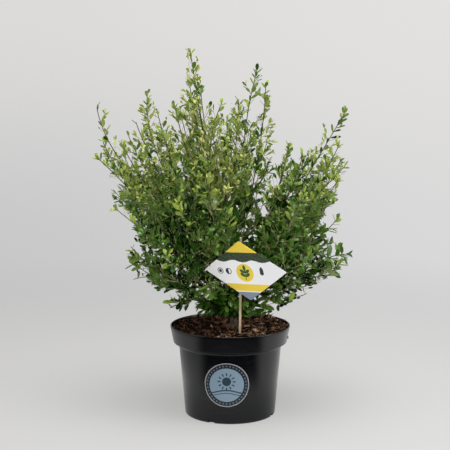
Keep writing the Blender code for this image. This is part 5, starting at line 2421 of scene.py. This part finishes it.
@dataclass
class Studio:
    """The pale floor, the soft lights and the camera."""

    place: Vector = field(default_factory=lambda: Vector((-0.0099, -2.0, 0.608)))
    pitch: float = math.radians(6.95)
    lens: float = 84.64
    sensor: float = 36.0
    floor_radius: float = 2.6
    floor_drop: float = 0.0003
    unlit: Colour = (0.011, 0.012, 0.016)
    white: Colour = (1.0, 0.995, 0.985)
    aim: Vector = field(default_factory=lambda: Vector((0.0, 0.0, 0.38)))

    def show(self, name: str, data: bpy.types.ID) -> bpy.types.Object:
        """Put something of the studio into the scene.

        Args:
            name: its name.
            data: its camera, light or mesh.

        Returns:
            The object.
        """
        thing = bpy.data.objects.new(name, data)
        bpy.context.scene.collection.objects.link(thing)
        return thing

    def camera(self) -> None:
        """The camera at the photograph's viewing angle."""
        camera = self.show("camera", bpy.data.cameras.new("camera"))
        camera.data.lens = self.lens
        camera.data.sensor_width = self.sensor
        camera.location = self.place
        camera.rotation_euler = (math.pi / 2 - self.pitch, 0.0, 0.0)
        bpy.context.scene.camera = camera

    def dark_side(self, wiring: Wiring, across: Signal, ahead: Signal) -> Signal:
        """A mask of the unlit side of the studio, which the glossy pot mirrors.

        Args:
            wiring: the tree's wiring.
            across: the sideways part of the direction.
            ahead: its part towards the back.

        Returns:
            The mask, by the direction's turn from the front.
        """
        turn = wiring.math("ARCTAN2", across, -ahead)
        left = turn.between(math.radians(-74), math.radians(-46))
        return left * (1.0 - turn.between(math.radians(47), math.radians(71)))

    def floor(self) -> None:
        """A pale floor that fades into the backdrop far out."""
        bm = bmesh.new()
        bmesh.ops.create_circle(bm, cap_ends=True, segments=96, radius=self.floor_radius)
        bmesh.ops.translate(bm, verts=bm.verts[:], vec=(0, 0, -self.floor_drop))
        surface = Surface("studio_floor")
        place = surface.object_place()
        across, ahead, _ = surface.parts(place)
        away = surface.away(place)
        material = surface.finish((0.49, 0.488, 0.482), 0.8, specular=0.1)
        dark = self.dark_side(surface, across, ahead) * away.between(0.19, 0.28)
        near = surface.mix(away.between(0.085, 0.30), grey(0.42), grey(0.84))
        beyond = surface.mix(across.between(-0.2, 0.2), grey(0.46), grey(0.72))
        near = surface.mix(away.between(0.18, 0.42), near, beyond)
        mirrored = surface.value("Emission", {"Color": surface.mix(dark, near, self.unlit)})
        tone = surface.mix(across.between(-0.45, 0.45), (0.640, 0.637, 0.630), (0.710, 0.710, 0.712))
        glow = surface.value("Emission", {"Color": tone})
        lit = surface.value("MixShader", {0: 0.55, 1: Signal(surface, surface.shader.outputs[0]), 2: glow})
        glossy = surface.value("LightPath", {}, "Is Glossy Ray")
        seen = surface.value("MixShader", {0: glossy, 1: lit, 2: mirrored})
        clear = surface.value("BsdfTransparent", {})
        whole = surface.value("MixShader", {0: away.between(0.45, 2.2), 1: seen, 2: clear})
        surface.put(surface.tree.nodes["Material Output"], {0: whole})
        mesh = mesh_of("floor", bm)
        mesh.materials.append(material)
        self.show("floor", mesh)

    def light(
        self, name: str, place: tuple[float, float, float], size: Pair, power: float, mirrored: bool = True
    ) -> None:
        """A soft light that looks at the middle of the plant.

        Args:
            name: its name.
            place: where it stands.
            size: its width and height.
            power: its power in watts.
            mirrored: whether glossy surfaces show it.
        """
        lamp = self.show(name, bpy.data.lights.new(name, "AREA"))
        lamp.data.shape = "RECTANGLE"
        lamp.data.size, lamp.data.size_y = size
        lamp.data.energy = power
        lamp.data.color = self.white
        lamp.location = place
        lamp.rotation_euler = (self.aim - Vector(place)).to_track_quat("-Z", "Y").to_euler()
        lamp.visible_glossy = mirrored

    def world(self) -> None:
        """An even backdrop, a little darker at the lower left, and light from the sides and above."""
        world = bpy.data.worlds.new("studio")
        bpy.context.scene.world = world
        world.use_nodes = True
        wiring = Wiring(world.node_tree)
        across, ahead, up = wiring.parts(wiring.value("TexCoord", {}, "Generated"))
        side = across.between(-0.24, 0.24)
        high_tone = wiring.mix(side, (0.712, 0.705, 0.692), (0.765, 0.755, 0.738))
        low_tone = wiring.mix(side, (0.572, 0.572, 0.580), (0.690, 0.690, 0.694))
        seen = world.node_tree.nodes["Background"]
        wiring.put(seen, {"Color": wiring.mix((-up).between(-0.09, 0.16), high_tone, low_tone)})
        above = up.between(0.35, 0.75)
        lit = wiring.mix(ahead.between(-0.55, -0.38) | above, (0.05, 0.05, 0.052), grey(0.37))
        right = across.between(-0.1, 0.1)
        beside = wiring.mix(right, grey(0.50), grey(1.00))
        lamp = wiring.mix(ahead.between(-0.1, 0.35), beside, wiring.mix(right, grey(0.38), grey(0.58)))
        lamp = wiring.mix(up.between(0.10, 0.30), lamp, (0.30, 0.30, 0.31))
        mirrored = wiring.mix(self.dark_side(wiring, across, ahead) * (1.0 - above), lamp, self.unlit)
        glossy = wiring.value("LightPath", {}, "Is Glossy Ray")
        light = wiring.value("Background", {"Color": wiring.mix(glossy, lit, mirrored)})
        direct = wiring.value("LightPath", {}, "Is Camera Ray")
        both = wiring.value("MixShader", {0: direct, 1: light, 2: Signal(wiring, seen.outputs[0])})
        wiring.put(world.node_tree.nodes["World Output"], {0: both})

    def build(self) -> None:
        """Set up everything round the object."""
        self.camera()
        self.floor()
        self.world()
        self.light("left_soft", (-1.9, -0.9, 1.0), (1.2, 1.4), 5.0)
        self.light("right_soft", (2.0, -0.7, 1.0), (1.2, 1.4), 17.0)
        self.light("front_soft", (-0.012, -2.3, 0.655), (0.4, 0.35), 29.0, mirrored=False)
        self.light("top_soft", (0.1, -0.5, 2.3), (1.5, 1.5), 58.0)
        bpy.context.scene.view_settings.view_transform = "Standard"


def main() -> None:
    """Build every part of the object and its studio."""
    logging.basicConfig(level=logging.INFO, format="%(message)s")
    make_effects()
    pot = NurseryPot()
    label = LabelPlace()
    limbs = Limbs()
    pot.build()
    Compost(pot).build()
    limbs.build()
    Crown(limbs, Space(label)).build()
    StickLabel(label).build()
    PotSticker(pot).build()
    Studio().build()


if __name__ == "__main__":
    main()
